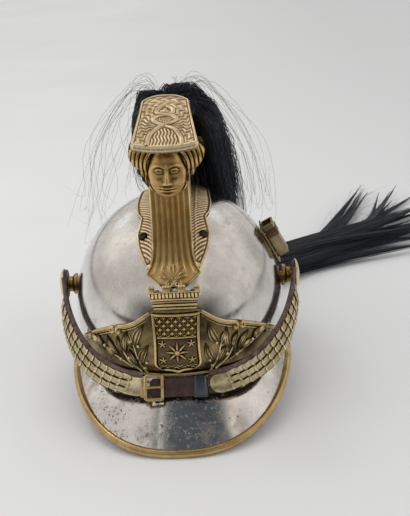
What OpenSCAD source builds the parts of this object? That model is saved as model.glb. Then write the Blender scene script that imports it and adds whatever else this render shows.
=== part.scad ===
// Crested cavalry helmet: steel bowl, visor and neck guard with rolled brass
// edging, brass front plate and crest, hair mane, plume socket and a pair of
// scaled chinstraps hooked over the visor. Millimetres. +X is the wearer's
// left, -Y the front, +Z up, and z = 0 is the table that the helmet stands on.

/* [Bowl] */
// Half width of the bowl
bowl_half_w = 95; // [88:1:102]
// Half length of the bowl
bowl_half_l = 112; // [104:1:120]
// Height of the widest plane above the table
bowl_widest_z = 80; // [76:1:84]
// Height of the dome above the widest plane
dome_h = 100; // [94:1:108]
// Height of the lower rim above the table
rim_z = 42; // [40:0.5:44]
// Wall of the bowl
bowl_wall = 1.4; // [1:0.1:2]

/* [Visor and neck guard] */
// Half width of the visor at its outer edge
visor_half_w = 97; // [96:0.5:100]
// Reach of the visor in front of the bowl centre
visor_reach = 155; // [148:1:160]
// Reach of the neck guard behind the bowl centre
guard_reach = 172; // [165:1:180]
// Height of both edges at the sides
edge_side_z = 34; // [31:0.5:35]
// Squareness of the outlines
edge_power = 2.45; // [2.1:0.05:2.8]
// Thickness of the visor and neck guard sheet
sheet_t = 1.2; // [0.8:0.1:1.6]
// Height of the riveted flange on the bowl
sheet_flange_h = 6; // [5:0.5:7]
// Radius of the rolled brass edging
edging_r = 3.6; // [3:0.1:4.2]

/* [Front plate] */
// Height of the top of the front plate
plate_top_z = 112; // [109:0.5:114]
// Height of the bottom of the front plate
plate_bottom_z = 51.8; // [51.5:0.1:54]
// Angle that the front plate reaches to each side
plate_angle = 62; // [54:1:68]
// Thickness of the stamped front plate
plate_t = 1.2; // [0.8:0.1:1.6]
// Half width of the shield
shield_half_w = 20.2; // [18:0.2:22]
// Height of the shield
shield_h = 51; // [46:1:52]
// Thickness of the shield
shield_t = 1.6; // [1.2:0.1:2]
// Width of the mural crown
crown_w = 43; // [38:1:46]
// Height of the mural crown's towers
crown_h = 18; // [15:0.5:20]

/* [Crest] */
// Half width of the fluted front
flute_half_w = 15.5; // [14:0.5:17]
// Number of flutes
flutes = 7; // [5:1:9]
// Thickness of the fluted front
flute_t = 2.2; // [1.6:0.1:2.6]
// Half width of the top panel at its lip
cap_front_half_w = 26; // [24:0.5:29]
// Half width of the top panel at its far edge
cap_rear_half_w = 19; // [18.5:0.5:21]
// Length of the top panel along its slope
cap_len = 63; // [58:1:66]
// Slope of the top panel
cap_slope = 23; // [20:0.5:26]
// Thickness of the top panel
cap_t = 3.4; // [2.6:0.2:4]
// Thickness of the crest's side walls
crest_wall = 1.3; // [1:0.1:1.8]
// Half width of the crest's base flange
flange_half_w = 30; // [27:0.5:33]
// Thickness of the base flange
flange_t = 1.2; // [1:0.1:1.6]
// Radius of the crest screws
screw_r = 2; // [1.6:0.1:2.4]
// Radius of the crest screw heads
screw_head_r = 3.8; // [3.2:0.1:4.4]

/* [Plume socket] */
// Length of the socket
socket_len = 33; // [29:1:35]
// Thickness of the socket off the bowl
socket_t = 11; // [9:0.5:12]
// Width of the socket along the helmet
socket_w = 16; // [14:0.5:18]
// Wall of the socket
socket_wall = 1.2; // [0.8:0.1:1.6]
// Height of the middle of the socket
socket_z = 128; // [127:0.5:131]

/* [Chinstraps] */
// Height of the strap studs
boss_z = 94; // [91:0.5:96]
// Distance of the strap studs behind the bowl centre
boss_y = 5; // [3:0.5:7]
// Radius of the strap studs
stud_r = 3; // [2.4:0.1:3.6]
// Radial clearance of the straps on their studs
stud_fit = 0.09; // [0.03:0.01:0.09]
// Distance of the straps from the bowl at the studs
strap_stand = 10.5; // [9.5:0.5:14]
// Distance of the straps in front of the bowl at the buckle
strap_lead = 8; // [7:0.5:12]
// Height of the straps at the buckle
strap_front_z = 46; // [44:0.5:48]
// Tilt of the straps at the buckle
strap_tilt = 35; // [30:1:38]
// Width of the straps at the buckle
strap_front_w = 22; // [20:0.5:24]
// Width of the straps at the studs
strap_rear_w = 27; // [25:0.5:29]
// Thickness of the strap leather
leather_t = 2.2; // [1.8:0.1:2.6]
// Number of scales on each strap
scales = 14; // [11:1:16]
// Extra thickness of the strap round its stud
strap_end_extra = 0.5; // [0.3:0.1:0.8]
// Thickness of a scale
scale_t = 0.7; // [0.5:0.05:0.9]
// Length of the buckle along the strap
buckle_len = 17; // [15:0.5:19]
// Thickness of the buckle frame
buckle_t = 2.4; // [2:0.1:3]
// Width of the buckle's bars
buckle_bar = 3; // [2.6:0.1:3.2]
// Width of the strap's tongue
tongue_w = 16; // [14:0.5:17]
// Length of the keeper along the strap
keeper_len = 11; // [9:0.5:13]
// Clearance of the keeper and buckle round the tongue
tongue_gap = 0.4; // [0.3:0.05:0.6]

/* [Liner] */
// Gap between bowl and sweatband
liner_gap = 4.5; // [3:0.5:6]
// Thickness of the liner leather
liner_t = 1.8; // [1.4:0.1:2.4]
// Height of the sweatband
liner_band_h = 32; // [28:1:34]
// Number of liner tongues
liner_tongue_count = 8; // [6:2:10]

/* [Hidden] */
$fn = 48;

steel = "#b9bcbf";
brass = "#a08a4c";
leather = "#4a2f22";
hair = "#141417";

seat = 0.25;             // clearance of pieces seated on the bowl
drawn_half_l = 112;      // half length of the bowl that the tables along the helmet are drawn for
long = bowl_half_l / drawn_half_l;
function lengthwise(t, i = 0) = [for (q = t) [for (j = [0 : len(q) - 1]) j == i ? q[j] * long : q[j]]];
bowl_k = bowl_half_l / bowl_half_w;
strap_half_span = bowl_half_w + strap_stand;
strap_reach = bowl_half_l + strap_lead;
low_h = 140;             // tuck of the bowl below its widest plane
flange_z = rim_z + 2;    // bend of the visor and guard sheets
slot = 0.2;              // clearance of the sheet in its edging

// Bowl surface: radius at a height, points by angle, by x and by plan
function bowl_r(z) = z >= bowl_widest_z
  ? bowl_half_w * sqrt(max(0, 1 - pow((z - bowl_widest_z) / dome_h, 2)))
  : bowl_half_w * sqrt(1 - pow((bowl_widest_z - z) / low_h, 2));
function bowl_u(u, z, off) = let (r = bowl_r(z) + off)
  [r * sin(u), -bowl_k * r * cos(u), z];
function bowl_x(x, z, off) = let (r = bowl_r(z) + off)
  [x, -bowl_k * sqrt(max(0, r * r - x * x)), z];
function bowl_top(x, y, off) = bowl_widest_z + (dome_h + off) *
  sqrt(max(0.0001, 1 - pow(x / (bowl_half_w + off), 2) - pow(y / (bowl_half_l + off), 2)));
function bowl_n(x, y, z) = unit([x / pow(bowl_half_w, 2), y / pow(bowl_half_l, 2),
  (z - bowl_widest_z) / pow(dome_h, 2)]);
function unit(v) = v / norm(v);
function mirror_x(pts) = [for (i = [len(pts) - 1 : -1 : 0]) [-pts[i][0], pts[i][1], pts[i][2]]];

// A solid through equal rings of points, closed by flat ends or run into itself.
// A ring that goes out along one row and back along another gets ends of strips.
function area_v(r) = sum([for (i = [0 : len(r) - 1]) cross(r[i] - r[0], r[(i + 1) % len(r)] - r[0])]);
function sum(v, i = 0) = i == len(v) - 1 ? v[i] : v[i] + sum(v, i + 1);
module loft(given, ring = false, rows = false) {
  turn = area_v(given[0]) * (sum(given[1]) - sum(given[0])) < 0;
  rings = turn ? [for (r = given) [for (i = [len(r) - 1 : -1 : 0]) r[i]]] : given;
  n = len(rings[0]);
  m = len(rings);
  polyhedron(points = [for (r = rings) each r], faces = concat(
    ring ? [] : rows ? [for (j = [0 : n / 2 - 2], e = [0, 1]) each let (o = e * (m - 1) * n,
        a = o + j, b = o + j + 1, c = o + n - 2 - j, d = o + n - 1 - j)
        e == 0 ? [[a, b, d], [b, c, d]] : [[d, b, a], [d, c, b]]]
      : [[for (j = [0 : n - 1]) j], [for (j = [n - 1 : -1 : 0]) (m - 1) * n + j]],
    [for (i = [0 : m - (ring ? 1 : 2)], j = [0 : n - 1]) each let (a = i * n + j,
      b = i * n + (j + 1) % n, c = (a + n) % (m * n), d = (b + n) % (m * n)) [[a, c, b], [b, c, d]]]));
}

// Places children with +Z along the bowl's outward normal at a plan point
module on_bowl(x, y, off = 0) {
  z = bowl_top(x, y, 0);
  d = bowl_n(x, y, z);
  translate([x, y, z] + off * d) rotate([0, acos(d[2]), atan2(d[1], d[0])]) children();
}

// Bowl
// Closed ring sections of a shell between two offsets, from a height up or all over
function shell_section(u, z0, z1, n, o0, o1) = concat(
  [for (i = [0 : n]) bowl_u(u, z0 + (z1 - z0) * i / n, o0)],
  [for (i = [n : -1 : 0]) bowl_u(u, z0 + (z1 - z0) * i / n, o1)]);
function dome_pt(u, a, off) = [(bowl_half_w + off) * cos(a) * sin(u),
  -(bowl_half_l + off) * cos(a) * cos(u), bowl_widest_z + (dome_h + off) * sin(a)];
pole_a = 87;
bowl_steps = 48;
module bowl() color(steel) difference() {
  union() {
    loft([for (k = [0 : bowl_steps - 1]) let (u = k * 360 / bowl_steps) concat(
      [for (i = [0 : 4]) bowl_u(u, rim_z + (bowl_widest_z - rim_z) * i / 5, 0)],
      [for (i = [0 : 11]) dome_pt(u, pole_a * i / 11, 0)],
      [for (i = [11 : -1 : 0]) dome_pt(u, pole_a * i / 11, -bowl_wall)],
      [for (i = [4 : -1 : 0]) bowl_u(u, rim_z + (bowl_widest_z - rim_z) * i / 5, -bowl_wall)])], true);
    translate([0, 0, bowl_top(0, 0, 0) - bowl_wall - 0.15])
      cylinder(r = bowl_half_l * cos(pole_a) + 0.4, h = bowl_wall);
  }
  for (s = [-1, 1]) translate([s * bowl_half_w, boss_y, boss_z]) rotate([0, 90, 0])
    cylinder(r = stud_r + 0.2, h = 20, center = true);
  crest_screw_places() cylinder(r = screw_r + 0.2, h = 20, center = true);
}

// Visor and neck guard
function edge_pt(t, side) = let (b = side < 0 ? visor_reach : guard_reach,
    q = pow(pow(abs(sin(t)), edge_power) + pow(abs(cos(t)), edge_power), -1 / edge_power),
    f = pow(q * cos(t), 2))
  [visor_half_w * q * sin(t) * -side, side * b * q * cos(t),
   edge_side_z * (1 - f) + edging_r * f];
function edge_u(p) = atan2(p[0], -p[1] / bowl_k);
function edge_out(t, side) = let (p = edge_pt(t, side))
  unit(p - bowl_u(edge_u(p), flange_z, seat));
function edge_up(t, side) = let (d = edge_pt(t + 0.5, side) - edge_pt(t - 0.5, side))
  unit(cross(d, edge_out(t, side)) * -1);
function sheet_ring(t, side) = let (p = edge_pt(t, side), u = edge_u(p),
    o = edge_out(t, side), h = edge_up(t, side), e = p - (edging_r / 5 + slot) * o)
  [bowl_u(u, flange_z + sheet_flange_h, seat), bowl_u(u, flange_z, seat),
   e - h * sheet_t / 2, e + h * sheet_t / 2,
   bowl_u(u, flange_z + sheet_t * 1.2, seat + sheet_t),
   bowl_u(u, flange_z + sheet_flange_h, seat + sheet_t)];
edge_steps = [for (i = [-22 : 22]) i * 89.6 / 22];
module brim_sheet(side) loft([for (i = [len(edge_steps) - 1 : -1 : 0])
  sheet_ring(edge_steps[i], side)], rows = true);
module brim_edging(side) {
  s = sheet_t / 2 + slot;
  a = asin(s / edging_r);
  section = concat([for (i = [0 : 11]) let (w = 180 - a - i * (360 - 2 * a) / 11)
      [edging_r * cos(w), edging_r * sin(w)]],
    [[-edging_r / 5, -s], [-edging_r / 5, s]]);
  loft([for (t = edge_steps) let (p = edge_pt(t, side), o = edge_out(t, side),
    h = edge_up(t, side)) [for (q = section) p + q[0] * o + q[1] * h]]);
}
module visor() color(steel) brim_sheet(-1);
module neck_guard() color(steel) brim_sheet(1);
module visor_edging() color(brass) brim_edging(-1);
module neck_guard_edging() color(brass) brim_edging(1);
module rivet(r, h) intersection() {
  translate([0, 0, h - (r * r + h * h) / (2 * h)]) sphere(r = (r * r + h * h) / (2 * h));
  cylinder(r = r + 1, h = h + 1);
}
module rim_rivets(side) for (u = [-72, -36, 0, 36, 72]) {
  p = bowl_u(side < 0 ? u : u + 180, flange_z + sheet_flange_h / 2 + 0.8, seat + sheet_t + 0.3);
  translate(p) rotate([90, 0, atan2(p[1] / pow(bowl_k, 2), p[0]) + 90]) rivet(2, 0.9);
}
module visor_rivets() color(brass) rim_rivets(-1);
module neck_guard_rivets() color(brass) rim_rivets(1);

// Front plate
plate_flat = 12;
function plate_edge_z(u) = plate_top_z - 0.87 * max(0, abs(u) - plate_flat);
plate_steps = [for (i = [-16 : 16]) i * plate_angle / 16];
module frontal_plate() color(brass) loft([for (u = plate_steps) let (t = plate_edge_z(u))
  concat([for (i = [0 : 5]) bowl_u(u, plate_bottom_z + (t - plate_bottom_z) * i / 5, seat + plate_t)],
    [for (i = [5 : -1 : 0]) bowl_u(u, plate_bottom_z + (t - plate_bottom_z) * i / 5, seat)])],
  rows = true);
border_w = 3;
border_h = 1.1;
leaf_t = 1.1;
// The raised border lies on the plate from the shield out to its ends
module plate_border() color(brass) for (s = [-1, 1]) {
  rings = [for (i = [0 : 12]) let (u = 17 + i * (plate_angle - 18) / 12, t = plate_edge_z(u) - 0.3,
      o = seat + plate_t + 0.02)
    [bowl_u(u, t - border_w, o), bowl_u(u, t, o), bowl_u(u, t - border_w * 0.2, o + border_h * 0.8),
     bowl_u(u, t - border_w * 0.5, o + border_h), bowl_u(u, t - border_w * 0.8, o + border_h * 0.8)]];
  loft(s > 0 ? rings : [for (r = rings) mirror_x(r)]);
}
module leaf(l, w) linear_extrude(leaf_t) intersection() {
  r = (l * l + w * w) / (4 * w);
  translate([0, r - w / 2]) circle(r = r);
  translate([0, -r + w / 2]) circle(r = r);
}
module plate_leaves() color(brass) for (s = [-1, 1], i = [0 : 4]) {
  u = s * (22 + 7.4 * i);
  z = (plate_bottom_z + plate_edge_z(u) - border_w) / 2 + 1 + (i % 2 == 0 ? 5 : -5) * (1 - i / 6);
  p = bowl_u(u, z, seat + plate_t + 0.3);
  translate(p) rotate([90, 0, atan2(p[1] / pow(bowl_k, 2), p[0]) + 90])
    rotate([0, 0, s * (35 + (i % 2) * 75)]) leaf(13 - i, 5.5 - i * 0.3);
}
shield_top_z = 108.5;
function shield_hw(f) = shield_half_w * (f < 0.84 ? 1 - 0.04 * sin(180 * f / 0.84)
  : sqrt(max(0.02, 1 - pow((f - 0.84) / 0.161, 2.4))));
module shield() color(brass) loft([for (f = [1, 0.975, 0.94, 0.9, 0.84, 0.78, 0.65, 0.5, 0.35, 0.2, 0.1, 0])
  let (z = shield_top_z - shield_h * f, w = shield_hw(f), o = seat + plate_t + 0.05)
  concat([for (i = [-5 : 5]) bowl_x(w * i / 5, z, o + shield_t)],
    [for (i = [5 : -1 : -5]) bowl_x(w * i / 5, z, o)])], rows = true);
crown_z = plate_top_z + 1;
crown_t = 3;
module mural_crown() color(brass) for (i = [-3 : 3]) {
  low = i % 2 == 0;
  w = crown_w / 7;
  z1 = crown_z + crown_h * (low ? 0.78 : 1) * (abs(i) == 3 ? 0.95 : 1);
  off = seat + 0.1;
  x = w * i;
  loft([for (z = [crown_z, z1]) let (a = bowl_x(x - w / 2 - 0.01, crown_z, off),
      b = bowl_x(x + w / 2 + 0.01, crown_z, off), t = crown_t + (low ? 0 : 1))
    [[b[0], b[1], z], [a[0], a[1], z], [a[0], a[1] - t, z], [b[0], b[1] - t, z]]]);
}

// Crest
flute_path = lengthwise([[-99, 131.6], [-94.6, 138], [-90, 147], [-86.4, 158], [-84.2, 170],
  [-83.2, 182], [-83.4, 194], [-84.4, 203], [-85, 210]]);
foot_flare = 7;
function flute_w(i) = flute_half_w + foot_flare * [0.9, 1, 0.45, 0.15, 0.03, 0, 0, 0, 0][i];
flute_steps = flutes * 6;
module crest_front() color(brass) loft([for (i = [0 : 8]) let (q = flute_path[i], w = flute_w(i))
  concat([for (j = [0 : flute_steps]) let (f = j / flute_steps)
      [w - 2 * w * f, q[0] - flute_t * (1 - 0.55 * abs(sin(180 * f * flutes))), q[1]]],
    [for (j = [flute_steps : -1 : 0]) [w - 2 * w * j / flute_steps, q[0], q[1]]])], rows = true);
module crest_palmette() color(brass) translate([0, flute_path[0][0] - flute_t - 0.4, flute_path[0][1] + 1])
  rotate([90 - 32, 0, 0]) union() {
    for (a = [-75 : 25 : 75]) rotate([0, 0, a]) translate([0, 6.5, 0]) scale([1, 2.6, 1])
      cylinder(r = 1.9, h = 1.6, $fn = 24);
    cylinder(r = 4, h = 2.4);
  }
cap_y = -bowl_half_l - 3;
cap_z = 253;
back_y = flute_path[8][0];
head_split = back_y - flute_t - 0.4;
wall_front_y = -80 * long;
function cap_under(y) = cap_z + (y - cap_y) * tan(cap_slope) - cap_t / cos(cap_slope);
module crest_head() color(brass) union() {
  intersection() {
    union() {
      translate([0, back_y - 10, cap_z - 27]) scale([flute_half_w, 15.5, 21]) sphere(r = 1);
      translate([0, back_y - 8, cap_z - 17]) scale([cap_front_half_w + 4, 12, 13]) sphere(r = 1);
      translate([0, back_y - 6, cap_z - 31]) scale([cap_front_half_w - 5, 9, 17]) sphere(r = 1);
    }
    translate([-2 * cap_front_half_w, head_split - 60, cap_z - 63]) cube([4 * cap_front_half_w, 60, 70]);
  }
  translate([1 - flute_half_w, head_split - 2, 211.5])
    cube([2 * flute_half_w - 2, wall_front_y - 0.3 - head_split + 2, 40]);
}
module cap_outline(inset) polygon([[-cap_front_half_w + inset, inset], [cap_front_half_w - inset, inset],
  [cap_rear_half_w - inset, cap_len * 0.88], [cap_rear_half_w * 0.6, cap_len * 0.97 - inset],
  [0, cap_len - inset], [-cap_rear_half_w * 0.6, cap_len * 0.97 - inset],
  [-cap_rear_half_w + inset, cap_len * 0.88]]);
lip_r = 3.4;
lip_half_w = cap_front_half_w - 0.4;
module crest_cap() color(brass) union() {
  translate([0, cap_y, cap_z]) rotate([cap_slope, 0, 0]) difference() {
    translate([0, 0, -cap_t]) linear_extrude(cap_t + 0.8) cap_outline(0);
    linear_extrude(2) cap_outline(2.2);
  }
  translate([-lip_half_w, cap_y + 1.1, cap_z + 0.7 - lip_r]) rotate([0, 90, 0])
    cylinder(r = lip_r, h = 2 * lip_half_w, $fn = 32);
}
// Top line and half widths of the crest walls along the helmet
ridge = lengthwise([[-57, 262], [-20, 256], [20, 242], [60, 212], [92, 168]]);
function ridge_z(y) = y <= ridge[0][0] ? cap_under(y) - 1.2 : lookup(y, ridge);
function wall_top_w(y) = lookup(y / long, [[-80, 14.6], [-57, 17.5], [0, 16], [50, 12], [92, 7]]);
function wall_base_w(y) = lookup(y / long, [[-80, 15], [-40, 15], [20, 14], [60, 11], [92, 7]]);
wall_ys = long * [-80, -72, -64, -57.2, -56, -44, -30, -15, 0, 15, 30, 45, 58, 70, 82, 92];
module crest_side(s) {
  rings = [for (y = wall_ys) let (zt = ridge_z(y), wt = wall_top_w(y), wb = wall_base_w(y),
      zb = bowl_top(wb - crest_wall, y, seat))
    [[wb, y, zb], [wb * 0.72 + wt * 0.28 - 0.2 - 1.5 * (92 - y / long) / 172, y, zb * 0.65 + zt * 0.35],
     [wt, y, zt], [wt - crest_wall, y, zt],
     [wb * 0.72 + wt * 0.28 - crest_wall - 0.2 - 1.5 * (92 - y / long) / 172, y, zb * 0.65 + zt * 0.35],
     [wb - crest_wall, y, zb]]];
  loft(s > 0 ? rings : [for (r = rings) mirror_x(r)], rows = true);
}
module crest_left_side() color(brass) crest_side(1);
module crest_right_side() color(brass) crest_side(-1);
flange_ys = long * [-82, -74, -64, -54, -44, -30, -15, 0, 15, 30, 45, 58, 70, 80, 88];
function flange_w(y) = lookup(y / long, [[-82, 24], [-72, flange_half_w - 1], [-58, flange_half_w + 2],
  [-42, flange_half_w], [-5, flange_half_w + 2], [40, flange_half_w - 2], [70, flange_half_w - 7],
  [88, flange_half_w - 16]]);
module crest_flange(s) difference() {
  rings = [for (y = flange_ys) let (a = wall_base_w(y) + 0.3, b = flange_w(y))
    concat([for (i = [0 : 4]) let (x = a + (b - a) * i / 4) [x, y, bowl_top(x, y, seat + flange_t)]],
      [for (i = [4 : -1 : 0]) let (x = a + (b - a) * i / 4) [x, y, bowl_top(x, y, seat)]])];
  loft(s > 0 ? rings : [for (r = rings) mirror_x(r)], rows = true);
  crest_screw_places() cylinder(r = screw_r + 0.15, h = 20, center = true);
}
module crest_left_flange() color(brass) crest_flange(1);
module crest_right_flange() color(brass) crest_flange(-1);
screw_x = 25;
screw_y = -62 * long;
rear_screw_x = 18;
rear_screw_y = 64 * long;
module crest_screw_places(off = 0) for (s = [-1, 1]) {
  on_bowl(s * screw_x, screw_y, off) children();
  on_bowl(s * rear_screw_x, rear_screw_y, off) children();
}
screw_seat = seat + flange_t + 0.5;
module crest_screws() color("#3a3328") crest_screw_places() union() {
  translate([0, 0, -bowl_wall - 4]) cylinder(r = screw_r, h = bowl_wall + 4.01 + screw_seat);
  difference() {
    translate([0, 0, screw_seat]) cylinder(r1 = screw_head_r, r2 = screw_head_r * 0.8, h = 1.6);
    translate([-screw_head_r - 1, -0.5, screw_seat + 0.9]) cube([2 * screw_head_r + 2, 1, 2]);
  }
}
module crest_nuts() color(steel) crest_screw_places() translate([0, 0, -bowl_wall - 3.4]) difference() {
  cylinder(r = screw_r * 1.9, h = 2.8, $fn = 6);
  translate([0, 0, -1]) cylinder(r = screw_r + 0.05, h = 5);
}

// Mane
holder_ys = long * [-52, -30, -10, 10, 30, 50, 70, 90];
module mane_holder() color("#2b2420") loft([for (y = holder_ys) let (z = ridge_z(y) - 1,
    w = wall_top_w(y) - crest_wall - 1.2)
  [[-w, y, z - 5], [w, y, z - 5], [w, y, z], [-w, y, z]]]);
function mane_ring(y) = let (z = ridge_z(y), w = wall_top_w(y) + 1.4, f = min(1, (y / long + 62) / 22),
    g = 1 - max(0, y / long) / 130)
  [for (q = [[-w, 0.6], [-w - 2, -8], [-w - 10 * g, -9], [-w - 12 * g, 4], [-w - 3, 16 * f], [-4, 15 * f],
     [6, 18 * f], [12, 25 * f], [w + 8, 25 * f], [w + 18 * g, 12 * f], [w + 21 * g, -4],
     [w + 14 * g, -12], [w + 2, -9], [w, 0.6]]) [q[0], y, z + q[1]]];
back_fall = [[8, 52, 238, 22, 12], [12, 86, 206, 27, 14], [16, 114, 172, 29, 14],
  [20, 137, 128, 30, 14], [26, 158, 86, 31, 13.5], [37, 181, 52, 32, 13], [58, 208, 28, 33, 12],
  [87, 239.1, 16.2, 33, 12], [88.4, 240.4, 15.9, 33, 12]];
tail_run = [[88.7, 240.7, 15.8, 33, 12], [90.2, 242.1, 15.5, 33, 12], [126, 272, 13, 32, 11.6],
  [168, 304, 11.6, 29, 10.4], [214, 335, 10.2, 25, 9], [262, 366, 8.6, 19, 7.4],
  [306, 396, 6.6, 12, 5.4], [340, 420, 4, 5, 3]];
left_fall = [[-25, -32, 256, 4.5, 8], [-28, 0, 237, 5, 10], [-29, 30, 210, 6, 10.5],
  [-27, 60, 187, 7, 10.5], [-19, 88, 166, 8, 10.5], [-3, 114, 148, 9, 11]];
right_fall = [[30, -34, 264, 7, 9], [35, -8, 249, 7, 12], [39, 18, 227, 8, 13], [43, 44, 200, 8, 14],
  [46, 70, 170, 8.5, 13], [46, 96, 138, 9, 12], [43, 122, 100, 10, 12], [38, 152, 78, 9, 11]];
lock_a = [[150, 292, 13, 16, 9], [178, 352, 12, 13, 8], [204, 420, 10, 10, 7], [232, 500, 7, 6, 5],
  [256, 570, 4, 2, 2]];
lock_b = [[196, 322, 11, 14, 8], [232, 376, 10, 11, 7], [262, 436, 8, 8, 6], [292, 500, 5, 3, 3]];
function sweep_ring(path, i) = let (p = path[i], c = [p[0], p[1], p[2]],
    a = path[max(0, i - 1)], b = path[min(len(path) - 1, i + 1)],
    d = unit([b[0] - a[0], b[1] - a[1], b[2] - a[2]]), s = unit(cross(d, [0, 0, 1])), n = cross(s, d))
  [for (k = [0 : 9]) c + p[3] * cos(36 * k) * s + p[4] * sin(36 * k) * n];
module sweep(path) loft([for (i = [0 : len(path) - 1]) sweep_ring(path, i)]);
module mane() color(hair) union() {
  loft([for (y = [-53, -48, -36, -20, -5, 10, 25, 40, 55, 70]) mane_ring(y * long)]);
  sweep(lengthwise(back_fall, 1));
  sweep(lengthwise(left_fall, 1));
  sweep(lengthwise(right_fall, 1));
}
module mane_tail() color(hair) union() {
  sweep(lengthwise(tail_run, 1));
  sweep(lengthwise(lock_a, 1));
  sweep(lengthwise(lock_b, 1));
}

// Plume socket
socket_lean = atan(bowl_half_w * (socket_z - bowl_widest_z) / pow(dome_h, 2)
  / sqrt(1 - pow((socket_z - bowl_widest_z) / dome_h, 2)));
module at_socket() translate([bowl_r(socket_z), boss_y, socket_z]) rotate([0, 90 - socket_lean, 0])
  translate([0, 0, 0.3]) children();
socket_base_t = 1.2;
socket_base_w = socket_w + 7;
module plume_socket() color("#8d8468") at_socket() translate([-socket_len / 2, -socket_w / 2, socket_base_t])
  difference() {
    cube([socket_len, socket_w, socket_t]);
    translate([-1, socket_wall, socket_wall])
      cube([socket_len + 1 - socket_wall, socket_w - 2 * socket_wall, socket_t - 2 * socket_wall]);
  }
module plume_socket_plate() color("#8d8468") at_socket()
  translate([-socket_len / 2 - 1, -socket_base_w / 2, 0]) cube([socket_len + 4, socket_base_w, socket_base_t]);
module plume_socket_rivets() color(brass) at_socket() for (x = [-0.32, 0.32], s = [-1, 1])
  translate([x * socket_len, s * (socket_w + socket_base_w) / 4, socket_base_t + 0.05]) rivet(1.4, 0.8);

// Strap studs
boss_r = 10;
boss_gap = 1.3;          // room between a boss and the strap that curves over it
end_t = leather_t + strap_end_extra;
strap_inner_x = strap_half_span - end_t / 2;
module boss(s) translate([s * (bowl_half_w + 0.1), boss_y, boss_z]) rotate([0, 90 * s, 0]) difference() {
  h = strap_inner_x - bowl_half_w - boss_gap;
  union() {
    cylinder(r = boss_r, h = h * 0.4);
    cylinder(r = boss_r * 0.72, h = h);
  }
  translate([0, 0, -1]) cylinder(r = stud_r + 0.1, h = h + 2);
}
module right_boss() color(brass) boss(-1);
module left_boss() color(brass) boss(1);
stud_head_gap = 0.5;      // room for the leather, whose edge is turned out under the head
stud_head_x = strap_half_span + end_t / 2 + stud_head_gap;
module boss_stud(s) translate([s * (bowl_half_w - 10), boss_y, boss_z]) rotate([0, 90 * s, 0]) union() {
  h = stud_head_x - bowl_half_w + 10;
  cylinder(r = stud_r, h = h + 0.5);
  translate([0, 0, h]) intersection() {
    cylinder(r = stud_r * 2.4, h = 4);
    translate([0, 0, 4 - stud_r * 3.6]) sphere(r = stud_r * 3.6);
  }
}
module right_boss_stud() color(brass) boss_stud(-1);
module left_boss_stud() color(brass) boss_stud(1);
nut_h = 3;
module boss_nuts() color(steel) for (s = [-1, 1])
  translate([s * (bowl_half_w - bowl_wall - 2.2), boss_y, boss_z]) rotate([0, -90 * s, 0]) difference() {
    cylinder(r = stud_r * 1.9, h = nut_h, $fn = 6);
    translate([0, 0, -1]) cylinder(r = stud_r + 0.08, h = nut_h + 2);
  }

// Liner
liner_off = -bowl_wall - liner_gap;
ring_us = [for (k = [0 : 39]) 9 * k];
module liner_band() color("#6b4a30") loft([for (u = ring_us)
  shell_section(u, rim_z + 3, rim_z + 3 + liner_band_h, 3, liner_off, liner_off - liner_t)], true);
tongue_top_z = 158;
tongue_start_z = rim_z + 3.4 + liner_band_h;
lace_w = 3;
tongue_lean = 0.55;       // how much further in the tongues stand at the top, to clear the crest nuts
function tongue_ring(u0, i) = let (f = i / 7, z = tongue_start_z + (tongue_top_z - tongue_start_z) * f,
    hw = 360 / liner_tongue_count / 2 - 5, o = (liner_off - liner_t / 2) * (1 + tongue_lean * f * f))
  concat([for (j = [-2 : 2]) bowl_u(u0 + hw * j / 2, z, o)],
    [for (j = [2 : -1 : -2]) bowl_u(u0 + hw * j / 2, z, o - liner_t)]);
module liner_tongues() color("#7a5638") for (k = [0 : liner_tongue_count - 1])
  loft([for (i = [0 : 7]) tongue_ring((k + 0.5) * 360 / liner_tongue_count, i)], rows = true);
module liner_lace() color("#2a211b") loft([for (u = ring_us)
  let (r = bowl_r(tongue_top_z - 5) + liner_off * (1 + tongue_lean) - 2.5 * liner_t - lace_w)
  [for (i = [0 : 7]) let (q = r + lace_w / 2 * cos(45 * i))
    [q * sin(u), -bowl_k * q * cos(u), tongue_top_z - 5 + lace_w / 2 * sin(45 * i)]]], true);

// Chinstraps: a path from the buckle (a = 0) to the stud (a = 90)
strap_flat = 20;
strap_rise = boss_z - strap_front_z;
function strap_pt(a) = [strap_flat + (strap_half_span - strap_flat) * sin(a),
  boss_y - (strap_reach + boss_y) * cos(a), strap_front_z + strap_rise * pow(max(0, 1 - cos(a)), 1.25)];
function strap_t(a) = unit(strap_pt(min(90, a + 0.4)) - strap_pt(max(0, a - 0.4)));
function strap_w(a) = strap_front_w + (strap_rear_w - strap_front_w) * a / 90;
function strap_frame(a) = let (t = strap_t(a), b = unit([0, 0, 1] - t[2] * t), n = cross(t, b),
    k = strap_tilt * pow(max(0, cos(a)), 0.8)) [strap_pt(a), t, cos(k) * b - sin(k) * n,
    sin(k) * b + cos(k) * n];
function strap_ring(a, w, t0, t1) = let (f = strap_frame(a))
  [f[0] - w / 2 * f[2] + t0 * f[3], f[0] + w / 2 * f[2] + t0 * f[3],
   f[0] + w / 2 * f[2] + t1 * f[3], f[0] - w / 2 * f[2] + t1 * f[3]];
module at_strap(a) {
  f = strap_frame(a);
  multmatrix([[f[1][0], f[2][0], f[3][0], f[0][0]], [f[1][1], f[2][1], f[3][1], f[0][1]],
    [f[1][2], f[2][2], f[3][2], f[0][2]], [0, 0, 0, 1]]) children();
}
right_start = 8;
left_start = 3;
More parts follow.
